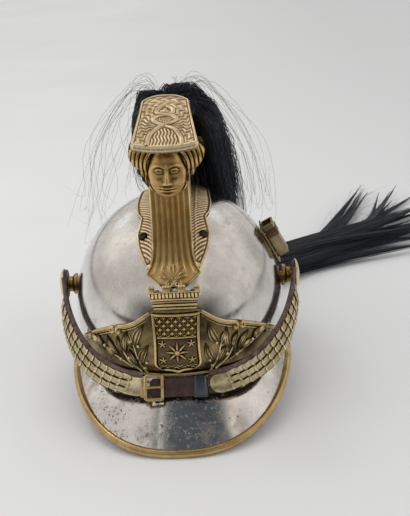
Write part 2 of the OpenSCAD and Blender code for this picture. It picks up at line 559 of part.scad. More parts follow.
module strap_leather(start) difference() {
  union() {
    loft([for (i = [0 : 20]) let (a = start + (90 - start) * i / 20)
      strap_ring(a, strap_w(a), leather_t / 2, -leather_t / 2)]);
    translate([strap_half_span, boss_y, boss_z]) rotate([0, 90, 0])
      cylinder(r = strap_rear_w / 2, h = end_t, center = true);
  }
  translate([strap_half_span, boss_y, boss_z]) rotate([0, 90, 0])
    cylinder(r = stud_r + stud_fit, h = 20, center = true);
}
// Angle on the path of a scale's fixed end, counted from the stud
scale_first = 80;
scale_last = 25;
function scale_a(i) = scale_first - (scale_first - scale_last) * i / (scales - 1);
scale_step = norm(strap_pt(scale_first) - strap_pt(scale_last)) * 1.03 / (scales - 1);
scale_len = scale_step * 1.5;
scale_side = 3.4;         // how far the scales stand out past the leather, both edges together
module scale_plate(w) linear_extrude(scale_t) union() {
  translate([-scale_len + w / 5, -w / 2 + 0.6]) square([scale_len - w / 5, w - 1.2]);
  for (k = [-1, 0, 1]) translate([-scale_len + w / 5 + 0.2, k * w * 0.31]) circle(r = w * 0.19, $fn = 24);
}
scale_pitch = atan((scale_t + 0.85) / scale_step);
module scale_row() for (i = [0 : scales - 1]) at_strap(scale_a(i))
  translate([scale_step * 0.5, 0, leather_t / 2 + 0.35]) rotate([0, scale_pitch, 0])
    scale_plate(strap_w(scale_a(i)) + scale_side);
end_a = 14.5;
end_len = 21;
module end_plate() at_strap(end_a) translate([2, 0, leather_t / 2 + 0.15]) linear_extrude(1) union() {
  translate([-end_len / 2 + 5, -strap_front_w / 2 + 0.5]) square([end_len - 7, strap_front_w - 1]);
  translate([-end_len / 2 + 5, 0]) scale([0.55, 1]) circle(r = strap_front_w / 2 - 0.5);
}
module right_strap() color(leather) mirror([1, 0, 0]) difference() {
  strap_leather(right_start - 1.2);
  translate([0, -2 * strap_reach, 0]) cube([strap_pt(right_start)[0], 2 * strap_reach, 2 * boss_z]);
}
module left_strap() color(leather) strap_leather(left_start);
module right_scales() color(brass) mirror([1, 0, 0]) scale_row();
module left_scales() color(brass) scale_row();
module right_end_plate() color(brass) mirror([1, 0, 0]) end_plate();
module left_end_plate() color(brass) end_plate();

// Buckle, in the flat frame of the buckled ends
module at_buckle() translate([0, -strap_reach, strap_front_z]) rotate([90 - strap_tilt, 0, 0]) children();
buckle_x = -29.5;
buckle_z = leather_t / 2 + tongue_gap;
buckle_w = tongue_w + 2 * (tongue_gap + buckle_bar);
prong_x = buckle_x + buckle_bar / 2;
prong_z = buckle_z + buckle_t / 2;
prong_fit = 0.05;
ring_r = buckle_t / 2 + 0.9;
ring_w = 3.2;
module buckle_frame() color(brass) at_buckle() {
  union() {
    difference() {
      translate([prong_x, -buckle_w / 2, buckle_z]) cube([buckle_len - buckle_bar / 2, buckle_w, buckle_t]);
      translate([prong_x - 1, -buckle_w / 2 + buckle_bar, buckle_z - 1])
        cube([buckle_len - buckle_bar * 1.5 + 1, buckle_w - 2 * buckle_bar, buckle_t + 2]);
    }
    translate([prong_x, 0, prong_z]) rotate([90, 0, 0]) cylinder(r = buckle_t / 2, h = buckle_w, center = true);
    difference() {
      translate([buckle_x - 2.2, -tongue_w / 2, -leather_t / 2])
        cube([2.8, tongue_w, leather_t / 2 + buckle_z + buckle_t - 0.4]);
      translate([prong_x - ring_r - 0.5, -ring_w / 2 - 0.4, -leather_t / 2 - 1])
        cube([ring_r + 3, ring_w + 0.8, 12]);
    }
  }
}
prong_r = 0.9;
prong_lift = buckle_z + buckle_t + 0.2;
peg_x = prong_x + 8.4;
module buckle_prong() color(brass) at_buckle() difference() {
  union() {
    translate([prong_x, 0, prong_z]) rotate([90, 0, 0]) cylinder(r = ring_r, h = ring_w, center = true);
    translate([prong_x, -1, prong_lift]) cube([buckle_len - buckle_bar / 2 + 0.5, 2, 1.4]);
    translate([peg_x, 0, 0.1]) cylinder(r = prong_r, h = prong_lift + 0.5);
  }
  translate([prong_x, 0, prong_z]) rotate([90, 0, 0])
    cylinder(r = buckle_t / 2 + prong_fit, h = 2 * ring_w, center = true);
}
tongue_hole = 1.7;
tongue_end = prong_x + ring_r + 1.2;
tongue_root = strap_pt(left_start)[0] - 0.4;
module strap_tongue() color(leather) at_buckle() difference() {
  union() {
    translate([tongue_end + 3, -tongue_w / 2, -leather_t / 2])
      cube([tongue_root - tongue_end - 3, tongue_w, leather_t]);
    translate([tongue_end + 3, 0, -leather_t / 2]) intersection() {
      scale([0.4, 1, 1]) cylinder(r = tongue_w / 2, h = leather_t);
      translate([-3, -tongue_w, -1]) cube([3.01, 2 * tongue_w, 10]);
    }
  }
  for (i = [0 : 2]) translate([peg_x + 9 * i, 0, 0]) cylinder(r = tongue_hole, h = 20, center = true);
}
keeper_x = 12.5;
keeper_t = 1.4;
module keeper() color("#8c8a86") at_buckle() translate([keeper_x, 0, 0]) difference() {
  translate([0, -tongue_w / 2 - tongue_gap - keeper_t, -leather_t / 2 - tongue_gap - keeper_t])
    cube([keeper_len, tongue_w + 2 * (tongue_gap + keeper_t), leather_t + 2 * (tongue_gap + keeper_t)]);
  translate([-1, -tongue_w / 2 - tongue_gap, -leather_t / 2 - tongue_gap])
    cube([keeper_len + 2, tongue_w + 2 * tongue_gap, leather_t + 2 * tongue_gap]);
}

bowl();
visor();
visor_edging();
neck_guard();
neck_guard_edging();
visor_rivets();
neck_guard_rivets();
frontal_plate();
plate_border();
plate_leaves();
shield();
mural_crown();
crest_front();
crest_palmette();
crest_head();
crest_cap();
crest_left_side();
crest_right_side();
crest_left_flange();
crest_right_flange();
crest_screws();
crest_nuts();
mane_holder();
mane();
mane_tail();
plume_socket();
plume_socket_plate();
plume_socket_rivets();
right_boss();
left_boss();
right_boss_stud();
left_boss_stud();
boss_nuts();
liner_band();
liner_tongues();
liner_lace();
right_strap();
right_scales();
right_end_plate();
buckle_frame();
buckle_prong();
left_strap();
left_scales();
left_end_plate();
strap_tongue();
keeper();
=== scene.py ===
"""Crested cavalry helmet: the looks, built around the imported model.

The helmet is a polished steel bowl with visor and neck guard, stamped brass
mounts, a horsehair mane and a pair of scaled chinstraps. All sizes are in
millimetres and are turned to metres where a mesh is written.
"""

import logging
import math
from dataclasses import dataclass, field
from enum import Enum
from typing import Callable, Optional, Sequence

import bpy
import numpy as np
from mathutils import Matrix, Vector


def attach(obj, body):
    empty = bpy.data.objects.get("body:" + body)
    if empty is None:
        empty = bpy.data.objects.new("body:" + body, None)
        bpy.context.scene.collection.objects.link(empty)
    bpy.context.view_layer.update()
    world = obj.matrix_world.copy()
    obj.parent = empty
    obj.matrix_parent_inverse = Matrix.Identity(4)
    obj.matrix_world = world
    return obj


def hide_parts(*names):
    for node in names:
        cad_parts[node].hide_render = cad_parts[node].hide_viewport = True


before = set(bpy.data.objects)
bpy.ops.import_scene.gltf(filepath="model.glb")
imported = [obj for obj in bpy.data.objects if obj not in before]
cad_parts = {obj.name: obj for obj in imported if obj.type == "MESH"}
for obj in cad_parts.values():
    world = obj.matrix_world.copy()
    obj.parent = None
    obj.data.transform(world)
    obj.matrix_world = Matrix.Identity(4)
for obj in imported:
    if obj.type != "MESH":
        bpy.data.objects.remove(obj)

log = logging.getLogger("helmet")
MM = 0.001
Points = np.ndarray
Place = Callable[[Points, Points], Points]


class Body(str, Enum):
    """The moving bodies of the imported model."""

    HELMET = "helmet"
    RIGHT_STRAP = "right_chinstrap"
    LEFT_STRAP = "left_chinstrap"
    PRONG = "buckle_prong"
    KEEPER = "keeper"


# Small helpers


def deselect() -> None:
    """Leaves edit mode and selects nothing."""
    if bpy.context.object and bpy.context.object.mode != "OBJECT":
        bpy.ops.object.mode_set(mode="OBJECT")
    bpy.ops.object.select_all(action="DESELECT")


def take(obj: bpy.types.Object) -> None:
    """Makes one object the only selected and active one.

    Args:
        obj: The object to work on.
    """
    deselect()
    obj.select_set(True)
    bpy.context.view_layer.objects.active = obj


def apply(obj: bpy.types.Object, kind: str, **settings: object) -> None:
    """Adds a modifier and applies it.

    Args:
        obj: The object that gets it.
        kind: Blender's name of the modifier's type.
        **settings: The modifier's settings.
    """
    take(obj)
    mod = obj.modifiers.new(kind.title(), kind)
    for key, value in settings.items():
        setattr(mod, key, value)
    bpy.ops.object.modifier_apply(modifier=mod.name)


def cut(obj: bpy.types.Object, tool: bpy.types.Object) -> None:
    """Cuts a tool's shape out of an object and deletes the tool."""
    apply(obj, "BOOLEAN", operation="DIFFERENCE", object=tool, solver="EXACT")
    bpy.data.objects.remove(tool)


def coords(obj: bpy.types.Object) -> Points:
    """Reads an object's vertices.

    Args:
        obj: A mesh object.

    Returns:
        An array of n by 3 numbers in millimetres.
    """
    co = np.empty(len(obj.data.vertices) * 3)
    obj.data.vertices.foreach_get("co", co)
    return co.reshape(-1, 3) / MM


def move_to(obj: bpy.types.Object, pts: Points) -> None:
    """Writes an object's vertices.

    Args:
        obj: A mesh object.
        pts: Its new points in millimetres.
    """
    obj.data.vertices.foreach_set("co", (np.asarray(pts, dtype=float) * MM).ravel())
    obj.data.update()


def weld(obj: bpy.types.Object, closed: bool = False) -> None:
    """Merges doubled points, and closes and orients a closed shape.

    Args:
        obj: A mesh object.
        closed: Whether the ends are filled and the faces turned outwards.
    """
    take(obj)
    bpy.ops.object.mode_set(mode="EDIT")
    bpy.ops.mesh.select_all(action="SELECT")
    bpy.ops.mesh.remove_doubles(threshold=2e-6)
    if closed:
        bpy.ops.mesh.fill_holes(sides=0)
        bpy.ops.mesh.select_all(action="SELECT")
        bpy.ops.mesh.normals_make_consistent(inside=False)
    bpy.ops.object.mode_set(mode="OBJECT")


def turn_faces(obj: bpy.types.Object) -> None:
    """Turns all faces of an object round.

    Args:
        obj: A mesh object.
    """
    take(obj)
    bpy.ops.object.mode_set(mode="EDIT")
    bpy.ops.mesh.select_all(action="SELECT")
    bpy.ops.mesh.flip_normals()
    bpy.ops.object.mode_set(mode="OBJECT")


def face_out(obj: bpy.types.Object, inside: Sequence[float]) -> None:
    """Turns an open surface so that its faces look away from a point.

    Args:
        obj: A mesh object.
        inside: The point behind the surface, in millimetres.
    """
    n = len(obj.data.polygons)
    c, d, a = np.empty(n * 3), np.empty(n * 3), np.empty(n)
    obj.data.polygons.foreach_get("center", c)
    obj.data.polygons.foreach_get("normal", d)
    obj.data.polygons.foreach_get("area", a)
    away = c.reshape(-1, 3) - np.asarray(inside) * MM
    away /= np.linalg.norm(away, axis=1)[:, None] + 1e-9
    if (np.einsum("ij,ij->i", away, d.reshape(-1, 3)) * a).sum() < 0:
        turn_faces(obj)


def smooth(obj: bpy.types.Object, angle: float = 40) -> None:
    """Shades an object smooth up to an angle in degrees."""
    take(obj)
    bpy.ops.object.shade_smooth_by_angle(angle=math.radians(angle))


def grid(name: str, across: int, along: int) -> tuple[bpy.types.Object, Points, Points]:
    """Makes a flat grid.

    Args:
        name: The object's name.
        across: Faces along the first parameter.
        along: Faces along the second parameter.

    Returns:
        The object and both parameters of its points, from 0 to 1.
    """
    deselect()
    bpy.ops.mesh.primitive_grid_add(x_subdivisions=across, y_subdivisions=along, size=2)
    obj = bpy.context.object
    obj.name = name
    flat = (coords(obj) * MM + 1) / 2
    return obj, flat[:, 0], flat[:, 1]


def sheet(name: str, across: int, along: int, place: Place, wall: float = 0,
          inside: Sequence[float] = (0, 0, 100), closed: bool = False) -> bpy.types.Object:
    """Shapes a grid into a sheet or a tube.

    Args:
        name: The object's name.
        across: Faces along the first parameter.
        along: Faces along the second parameter.
        place: Gives points in millimetres for two parameters from 0 to 1.
        wall: Thickness added towards the inside, in millimetres.
        inside: A point behind the sheet.
        closed: Whether the grid closes into a solid of its own.

    Returns:
        The new object.
    """
    obj, s, t = grid(name, across, along)
    move_to(obj, place(s, t))
    weld(obj, closed)
    if not closed:
        face_out(obj, inside)
    if wall:
        apply(obj, "SOLIDIFY", thickness=wall * MM, offset=-1.0)
    smooth(obj)
    return obj


def relief_map(obj: bpy.types.Object, values: Points | float) -> None:
    """Stores how hollow or how worn each point is, for the metal finishes; on the scales and the panel lip it
    also holds painted shade and painted highlights.

    Args:
        obj: A mesh object.
        values: One number per point or one for all, below 0 in hollows and painted shade, above 0 on worn
            edges and painted highlights.
    """
    layer = obj.data.attributes.new("relief", "FLOAT", "POINT")
    layer.data.foreach_set("value", np.full(len(obj.data.vertices), values, dtype=np.float32))


def embossed(name: str, across: int, along: int, base: Callable[[Points, Points, Points], Points],
             height: Place, wall: float = 0,
             inside: Sequence[float] = (0, 0, 100), blur: int = 4) -> bpy.types.Object:
    """Shapes a grid into stamped sheet metal and maps its hollows.

    Args:
        name: The object's name.
        across: Faces along the first parameter.
        along: Faces along the second parameter.
        base: Gives a point for two parameters and a height off the sheet.
        height: Gives the height of the relief for two parameters.
        wall: Thickness added towards the inside.
        inside: A point behind the sheet.
        blur: Steps of the mean that tells hollows from edges.

    Returns:
        The new object.
    """
    obj, s, t = grid(name, across, along)
    h = height(s, t)
    move_to(obj, base(s, t, h))
    order = np.lexsort((s.round(6), t.round(6)))
    table = h[order].reshape(along + 1, across + 1)
    mean = table.copy()
    for _ in range(blur * 3):
        pad = np.pad(mean, 1, mode="edge")
        mean = (pad[:-2, 1:-1] + pad[2:, 1:-1] + pad[1:-1, :-2] + pad[1:-1, 2:] + pad[1:-1, 1:-1]) / 5
    values = np.empty(len(h))
    values[order] = ((table - mean) / 0.35).clip(-1, 1).ravel()
    relief_map(obj, values)
    face_out(obj, inside)
    if wall:
        apply(obj, "SOLIDIFY", thickness=wall * MM, offset=-1.0)
    smooth(obj, 60)
    return obj


def spread(pts: Sequence[Sequence[float]], count: int, closed: bool = False) -> Points:
    """Runs a smooth curve through points.

    Args:
        pts: The points to pass.
        count: How many points come back.
        closed: Whether the curve returns to its start.

    Returns:
        Points evenly spread in parameter along the curve.
    """
    p = np.asarray(pts, dtype=float)
    q = np.vstack([p[-1:], p, p[:2]]) if closed else np.vstack([2 * p[0] - p[1], p, 2 * p[-1] - p[-2]])
    spans = len(p) if closed else len(p) - 1
    u = np.linspace(0, spans, count, endpoint=not closed)
    i = np.minimum(u.astype(int), spans - 1)
    f = (u - i)[:, None]
    a, b, c, d = q[i], q[i + 1], q[i + 2], q[i + 3]
    square, cube = 2 * a - 5 * b + 4 * c - d, 3 * b - a - 3 * c + d
    return 0.5 * (2 * b + (c - a) * f + square * f ** 2 + cube * f ** 3)


def tube(name: str, path: Points, radius: float, sides: int = 10, closed: bool = False,
         up: Sequence[float] = (0, 0, 1), flat: float = 1.0) -> bpy.types.Object:
    """Makes a round bar or wire along a path.

    Args:
        name: The object's name.
        path: Its centre line.
        radius: Its radius, one number or one per point.
        sides: Sides of its section.
        closed: Whether it is a ring.
        up: A direction that is never along the path.
        flat: Height of the section as a share of its width.

    Returns:
        The new object.
    """
    p = np.asarray(path, dtype=float)
    n = len(p)
    r = np.broadcast_to(np.asarray(radius, dtype=float), (n,))
    fwd = np.roll(p, -1, 0) - np.roll(p, 1, 0)
    if not closed:
        fwd[0], fwd[-1] = p[1] - p[0], p[-1] - p[-2]
    fwd /= np.linalg.norm(fwd, axis=1)[:, None]
    side = np.cross(fwd, np.broadcast_to(np.asarray(up, dtype=float), p.shape))
    side /= np.linalg.norm(side, axis=1)[:, None]
    top = np.cross(side, fwd)

    def place(s: Points, t: Points) -> Points:
        """Puts a grid point on the bar."""
        i = np.rint(t * (n if closed else n - 1)).astype(int) % n
        w = 2 * np.pi * s
        return p[i] + (r[i] * np.cos(w))[:, None] * side[i] + (flat * r[i] * np.sin(w))[:, None] * top[i]

    return sheet(name, sides, n if closed else n - 1, place, closed=True)


def block(name: str, size: Sequence[float], bevel: float, matrix: Matrix) -> bpy.types.Object:
    """Makes a bevelled bar.

    Args:
        name: The object's name.
        size: Its three sizes.
        bevel: The width of its bevels.
        matrix: Its place, in millimetres.

    Returns:
        The new object.
    """
    deselect()
    bpy.ops.mesh.primitive_cube_add(size=1)
    obj = bpy.context.object
    obj.name = name
    move_to(obj, coords(obj) * MM * np.asarray(size))
    if bevel:
        apply(obj, "BEVEL", width=bevel * MM, segments=3, limit_method="NONE")
    seat(obj, matrix)
    smooth(obj)
    return obj


def seat(obj: bpy.types.Object, matrix: Matrix) -> None:
    """Moves an object's mesh by a matrix in millimetres."""
    m = np.array(matrix)
    move_to(obj, coords(obj) @ m[:3, :3].T + m[:3, 3])


def turned(name: str, profile: Sequence[Sequence[float]], matrix: Matrix,
           steps: int = 32) -> bpy.types.Object:
    """Turns a profile of radius and height into a round piece.

    Args:
        name: The object's name.
        profile: Pairs of radius and height from one end to the other.
        matrix: Its place, in millimetres.
        steps: Faces round it.

    Returns:
        The new object.
    """
    prof = np.asarray(profile, dtype=float)

    def place(s: Points, t: Points) -> Points:
        """Puts a grid point on the turned shape."""
        i = np.rint(t * (len(prof) - 1)).astype(int)
        w = 2 * np.pi * s
        return np.stack([prof[i, 0] * np.cos(w), prof[i, 0] * np.sin(w), prof[i, 1]], 1)

    obj = sheet(name, steps, len(prof) - 1, place, closed=True)
    seat(obj, matrix)
    smooth(obj, 35)
    return obj


def basis(origin: Sequence[float], x: Sequence[float], y: Sequence[float], z: Sequence[float]) -> Matrix:
    """Makes a place from an origin and three directions.

    Args:
        origin: Where it is, in millimetres.
        x: Its first direction.
        y: Its second direction.
        z: Its third direction.

    Returns:
        The matrix.
    """
    m = Matrix.Identity(4)
    for k, v in enumerate((x, y, z, origin)):
        for row in range(3):
            m[row][k] = float(v[row])
    return m


def join(name: str, objs: Sequence[bpy.types.Object]) -> bpy.types.Object:
    """Joins objects into one.

    Args:
        name: The name of the joined object.
        objs: The objects.

    Returns:
        The joined object.
    """
    take(objs[0])
    for obj in objs:
        obj.select_set(True)
    bpy.ops.object.join()
    objs[0].name = name
    return objs[0]


def pearl(place: Points, radius: float, segments: int) -> bpy.types.Object:
    """Makes a small ball.

    Args:
        place: Its centre in millimetres.
        radius: Its radius.
        segments: Faces round it.

    Returns:
        The new object.
    """
    deselect()
    bpy.ops.mesh.primitive_uv_sphere_add(segments=segments, ring_count=8, radius=1)
    obj = bpy.context.object
    move_to(obj, coords(obj) * MM * radius + place)
    smooth(obj)
    return obj


def unit(v: Points) -> Points:
    """Scales vectors to length 1."""
    v = np.asarray(v, dtype=float)
    return v / np.linalg.norm(v, axis=-1, keepdims=True)


def bump(d: Points, w: float) -> Points:
    """A rounded ridge of half width w and height 1 at distance 0."""
    return np.sqrt(np.clip(1 - (d / w) ** 2, 0, 1))


def bell(d: Points, w: float) -> Points:
    """A soft bell of width w and height 1 at distance 0."""
    return np.exp(-(d / w) ** 2)


def ramp(x: Points, a: float, b: float) -> Points:
    """A smooth step from 0 at a to 1 at b."""
    f = np.clip((x - a) / (b - a), 0, 1)
    return f * f * (3 - 2 * f)


def line_distance(x: Points, y: Points, path: Points) -> Points:
    """Measures the distance of points to a polyline.

    Args:
        x: First coordinates.
        y: Second coordinates.
        path: The polyline's corners, n by 2.

    Returns:
        The distances.
    """
    best = np.full(x.shape, 1e9)
    for a, b in zip(path[:-1], path[1:]):
        d = b - a
        f = np.clip(((x - a[0]) * d[0] + (y - a[1]) * d[1]) / (d @ d + 1e-12), 0, 1)
        best = np.minimum(best, np.hypot(x - a[0] - f * d[0], y - a[1] - f * d[1]))
    return best


# Finishes


def linear(code: str) -> tuple[float, float, float, float]:
    """Turns an sRGB hex colour to linear values.

    Args:
        code: The colour, such as "#b08d57".

    Returns:
        Red, green, blue and alpha.
    """
    v = [int(code[i:i + 2], 16) / 255 for i in (1, 3, 5)]
    r, g, b = (c / 12.92 if c <= 0.04045 else ((c + 0.055) / 1.055) ** 2.4 for c in v)
    return r, g, b, 1.0


def add(tree: bpy.types.NodeTree, kind: str, inputs: Optional[dict] = None,
        **settings: object) -> bpy.types.Node:
    """Adds a node with its settings and links.

    Args:
        tree: The node tree.
        kind: The node's type.
        inputs: Values or sockets by input name or number.
        **settings: The node's own settings.

    Returns:
        The new node.
    """
    new = tree.nodes.new(kind)
    for key, value in settings.items():
        setattr(new, key, value)
    for key, value in (inputs or {}).items():
        if isinstance(value, bpy.types.NodeSocket):
            tree.links.new(value, new.inputs[key])
        else:
            new.inputs[key].default_value = value
    return new


@dataclass(frozen=True)
class Finish:
    """A finish that is built as one node material."""

    name: str

    def start(self) -> tuple[bpy.types.Material, bpy.types.NodeTree, bpy.types.Node, bpy.types.NodeSocket]:
        """Makes the material.

        Returns:
            The material, its tree, its shader and the object coordinates.
        """
        mat = bpy.data.materials.new(self.name)
        mat.use_nodes = True
        tree = mat.node_tree
        shader = tree.nodes["Principled BSDF"]
        place = add(tree, "ShaderNodeTexCoord").outputs["Object"]
        return mat, tree, shader, place

    def noise(self, tree: bpy.types.NodeTree, place: bpy.types.NodeSocket, size: float, detail: float = 3,
              stretch: Sequence[float] = (1, 1, 1), low: float = 0.35,
              high: float = 0.65) -> bpy.types.NodeSocket:
        """Adds a noise of a real size, spread to the range 0 to 1.

        Args:
            tree: The node tree.
            place: The coordinates.
            size: The size of its spots in millimetres.
            detail: How many finer levels it has.
            stretch: How much it is drawn out along each axis.
            low: The noise value that becomes 0.
            high: The noise value that becomes 1.

        Returns:
            The noise's value.
        """
        scaled = add(tree, "ShaderNodeMapping", {"Vector": place, "Scale": tuple(1 / k for k in stretch)})
        made = add(tree, "ShaderNodeTexNoise", {"Vector": scaled.outputs[0], "Scale": 1000 / size,
                                                "Detail": detail, "Roughness": 0.6})
        return self.span(tree, made.outputs["Fac"], low, high, 0, 1)

    def span(self, tree: bpy.types.NodeTree, value: bpy.types.NodeSocket, a: float, b: float,
             c: float, d: float) -> bpy.types.NodeSocket:
        """Maps a range to another one.

        Args:
            tree: The node tree.
            value: The value to map.
            a: Start of the range.
            b: End of the range.
            c: What the start becomes.
            d: What the end becomes.

        Returns:
            The mapped value.
        """
        return add(tree, "ShaderNodeMapRange", {0: value, 1: a, 2: b, 3: c, 4: d}).outputs[0]

    def mix(self, tree: bpy.types.NodeTree, factor: object, a: object, b: object) -> bpy.types.NodeSocket:
        """Mixes two colours.

        Args:
            tree: The node tree.
            factor: The share of the second colour.
            a: First colour, a hex code or a socket.
            b: Second colour, a hex code or a socket.

        Returns:
            The mixed colour.
        """
        sides = [linear(c) if isinstance(c, str) else c for c in (a, b)]
        return add(tree, "ShaderNodeMix", {0: factor, 6: sides[0], 7: sides[1]}, data_type="RGBA").outputs[2]

    def math(self, tree: bpy.types.NodeTree, how: str, a: object, b: object) -> bpy.types.NodeSocket:
        """Combines two values and keeps the result between 0 and 1."""
        return add(tree, "ShaderNodeMath", {0: a, 1: b}, operation=how, use_clamp=True).outputs[0]

    def link(self, tree: bpy.types.NodeTree, shader: bpy.types.Node, **sockets: object) -> None:
        """Links sockets to the shader, with underscores for spaces in its socket names."""
        for key, value in sockets.items():
            tree.links.new(value, shader.inputs[key.replace("_", " ")])

    def bumped(self, tree: bpy.types.NodeTree, shader: bpy.types.Node, *layers: tuple) -> None:
        """Adds bump layers, each a height, a strength and a depth in millimetres."""
        normal = None
        for height, strength, depth in layers:
            inputs = {"Height": height, "Strength": strength, "Distance": depth * MM}
            if normal:
                inputs["Normal"] = normal
            normal = add(tree, "ShaderNodeBump", inputs).outputs[0]
        tree.links.new(normal, shader.inputs["Normal"])


@dataclass(frozen=True)
class PolishedSteel(Finish):
    """Hand-burnished sheet steel: a bright skin with fine scratches, clouding, pits and a little rust."""

    light: str = "#ece9e5"
    cloud: str = "#aaa49f"
    pit: str = "#211b17"
    rust: str = "#7a4f33"
    gloss: float = 0.11
    pitting: float = 0.5
    stain: float = 0.25
    pitted_x: Optional[float] = None

    def build(self) -> bpy.types.Material:
        """Builds the steel.

        Returns:
            The material.
        """
        mat, tree, shader, place = self.start()
        clouds = self.noise(tree, place, 34, 4)
        fine = self.noise(tree, place, 5, 3, (1, 1, 3))
        scratch = self.noise(tree, place, 1.4, 2, (0.4, 0.4, 9))
        spots = self.noise(tree, place, 3.2, 5, low=0.74 - 0.1 * self.pitting,
                           high=0.80 - 0.08 * self.pitting)
        patch = self.noise(tree, place, 26, 4, low=0.66 - 0.16 * self.stain, high=0.84 - 0.1 * self.stain)
        specks = self.math(tree, "MULTIPLY", spots, self.noise(tree, place, 38, 2, low=0.45, high=0.6))
        if self.pitted_x is not None:
            x = add(tree, "ShaderNodeSeparateXYZ", {0: place}).outputs[0]
            holes = self.noise(tree, place, 2.6, 4, low=0.56, high=0.62)
            middle = self.pitted_x * MM
            near = self.math(tree, "MULTIPLY", self.span(tree, x, middle - 0.03, middle - 0.008, 0, 1),
                             self.span(tree, x, middle + 0.03, middle + 0.008, 0, 1))
            near = self.math(tree, "MULTIPLY", near, self.noise(tree, place, 17, 2, low=0.46, high=0.56))
            specks = self.math(tree, "MAXIMUM", specks, self.math(tree, "MULTIPLY", holes, near))
        streak = self.noise(tree, place, 1.1, 3, (1, 1, 26))
        base = self.mix(tree, self.math(tree, "MULTIPLY", clouds, 0.55), self.light, self.cloud)
        base = self.mix(tree, self.math(tree, "MULTIPLY", streak, 0.16), base, "#6f6862")
        base = self.mix(tree, self.math(tree, "MULTIPLY", patch, 0.62), base, self.rust)
        base = self.mix(tree, self.math(tree, "MULTIPLY", specks, 0.85), base, self.pit)
        rough = self.span(tree, fine, 0, 1, self.gloss, self.gloss + 0.07)
        dull = self.math(tree, "MAXIMUM", specks, self.math(tree, "MULTIPLY", patch, 0.6))
        rough = self.math(tree, "ADD", rough, self.math(tree, "MULTIPLY", dull, 0.22))
        self.link(tree, shader, Base_Color=base, Roughness=rough,
                  Metallic=self.span(tree, dull, 0, 1, 1, 0.45))
        dent = self.noise(tree, place, 46, 2)
        self.bumped(tree, shader, (dent, 0.45, 0.42), (scratch, 0.05, 0.04), (specks, 0.5, -0.12))
        return mat


@dataclass(frozen=True)
class AgedBrass(Finish):
    """Stamped sheet brass: warm worn edges, a brown tarnish in the hollows and finger-dulled flats; on the
    scales and the panel lip these colours also give painted highlights and painted shade.
    """

    bright: str = "#c9a567"
    body: str = "#9a7c42"
    tarnish: str = "#4d3a20"
    gloss: float = 0.3
    tarnish_and_shade_strength: float = 0.8
    grain: float = 1.0
    reach: float = 0.8
    deep: float = 0.7
    patchy: float = 0.7

    def build(self) -> bpy.types.Material:
        """Builds the brass.

        Returns:
            The material.
        """
        mat, tree, shader, place = self.start()
        relief = add(tree, "ShaderNodeAttribute", attribute_name="relief").outputs["Fac"]
        # the relief holds real tarnish and wear, and on the scales and the panel lip also painted shade and
        # painted highlights
        hollow = self.span(tree, relief, 0.02, -self.deep, 0, 1)
        worn = self.span(tree, relief, 0.05, self.reach, 0, 1)
        clouds = self.noise(tree, place, 16, 4)
        fine = self.noise(tree, place, 1.8, 3)
        base = self.mix(tree, self.math(tree, "MULTIPLY", clouds, self.patchy), self.body, self.bright)
        base = self.mix(tree, self.math(tree, "MULTIPLY", worn, 0.9), base, self.bright)
        tarnish_and_shade_mask = self.math(tree, "MULTIPLY", hollow, self.tarnish_and_shade_strength)
        smut = self.math(tree, "MULTIPLY", self.noise(tree, place, 9, 5, low=0.52, high=0.74), 0.35)
        dark = self.math(tree, "MAXIMUM", tarnish_and_shade_mask, smut)
        base = self.mix(tree, dark, base, self.tarnish)
        rough = self.span(tree, fine, 0, 1, self.gloss, self.gloss + 0.14)
        rough = self.math(tree, "ADD", rough, self.math(tree, "MULTIPLY", dark, 0.25))
        self.link(tree, shader, Base_Color=base, Roughness=rough)
        shader.inputs["Metallic"].default_value = 1.0
        self.bumped(tree, shader, (clouds, 0.25, 0.3), (fine, 0.12 * self.grain, 0.08))
        return mat


@dataclass(frozen=True)
class StrapLeather(Finish):
    """Old bridle leather: dark brown, dry grain with cracks, rubbed redder where it is worn."""

    body: str = "#2f1d17"
    worn: str = "#5d3a2c"
    gloss: float = 0.42

    def build(self) -> bpy.types.Material:
        """Builds the leather.

        Returns:
            The material.
        """
        mat, tree, shader, place = self.start()
        clouds = self.noise(tree, place, 9, 4)
        cells = add(tree, "ShaderNodeTexVoronoi", {"Vector": place, "Scale": 1000 / 1.3},
                    feature="DISTANCE_TO_EDGE")
        grain = self.span(tree, cells.outputs["Distance"], 0, 0.25, 0, 1)
        fibre = self.noise(tree, place, 1.1, 3, (1, 1, 2.5))
        base = self.mix(tree, clouds, self.body, self.worn)
        base = self.mix(tree, self.math(tree, "MULTIPLY", fibre, 0.35), base, "#1b110e")
        self.link(tree, shader, Base_Color=base,
                  Roughness=self.span(tree, fibre, 0, 1, self.gloss, self.gloss + 0.22))
        self.bumped(tree, shader, (grain, 0.4, 0.15), (clouds, 0.4, 0.4))
        return mat


@dataclass(frozen=True)
class Horsehair(Finish):
    """Black horsehair: glossy blue-black strands, each a little different, in darker and paler locks."""

    dark: str = "#070c15"
    pale: str = "#26384e"
    gloss: float = 0.34

    def build(self) -> bpy.types.Material:
        """Builds the hair.

        Returns:
            The material.
        """
        mat, tree, shader, place = self.start()
        tint = add(tree, "ShaderNodeAttribute", attribute_name="tint").outputs["Fac"]
        lock = self.noise(tree, place, 7, 3, (1, 1, 2))
        base = self.mix(tree, self.math(tree, "MULTIPLY", tint, lock), self.dark, self.pale)
        self.link(tree, shader, Base_Color=base,
                  Roughness=self.span(tree, lock, 0, 1, self.gloss, self.gloss + 0.15))
        shader.inputs["Specular IOR Level"].default_value = 0.42
        return mat


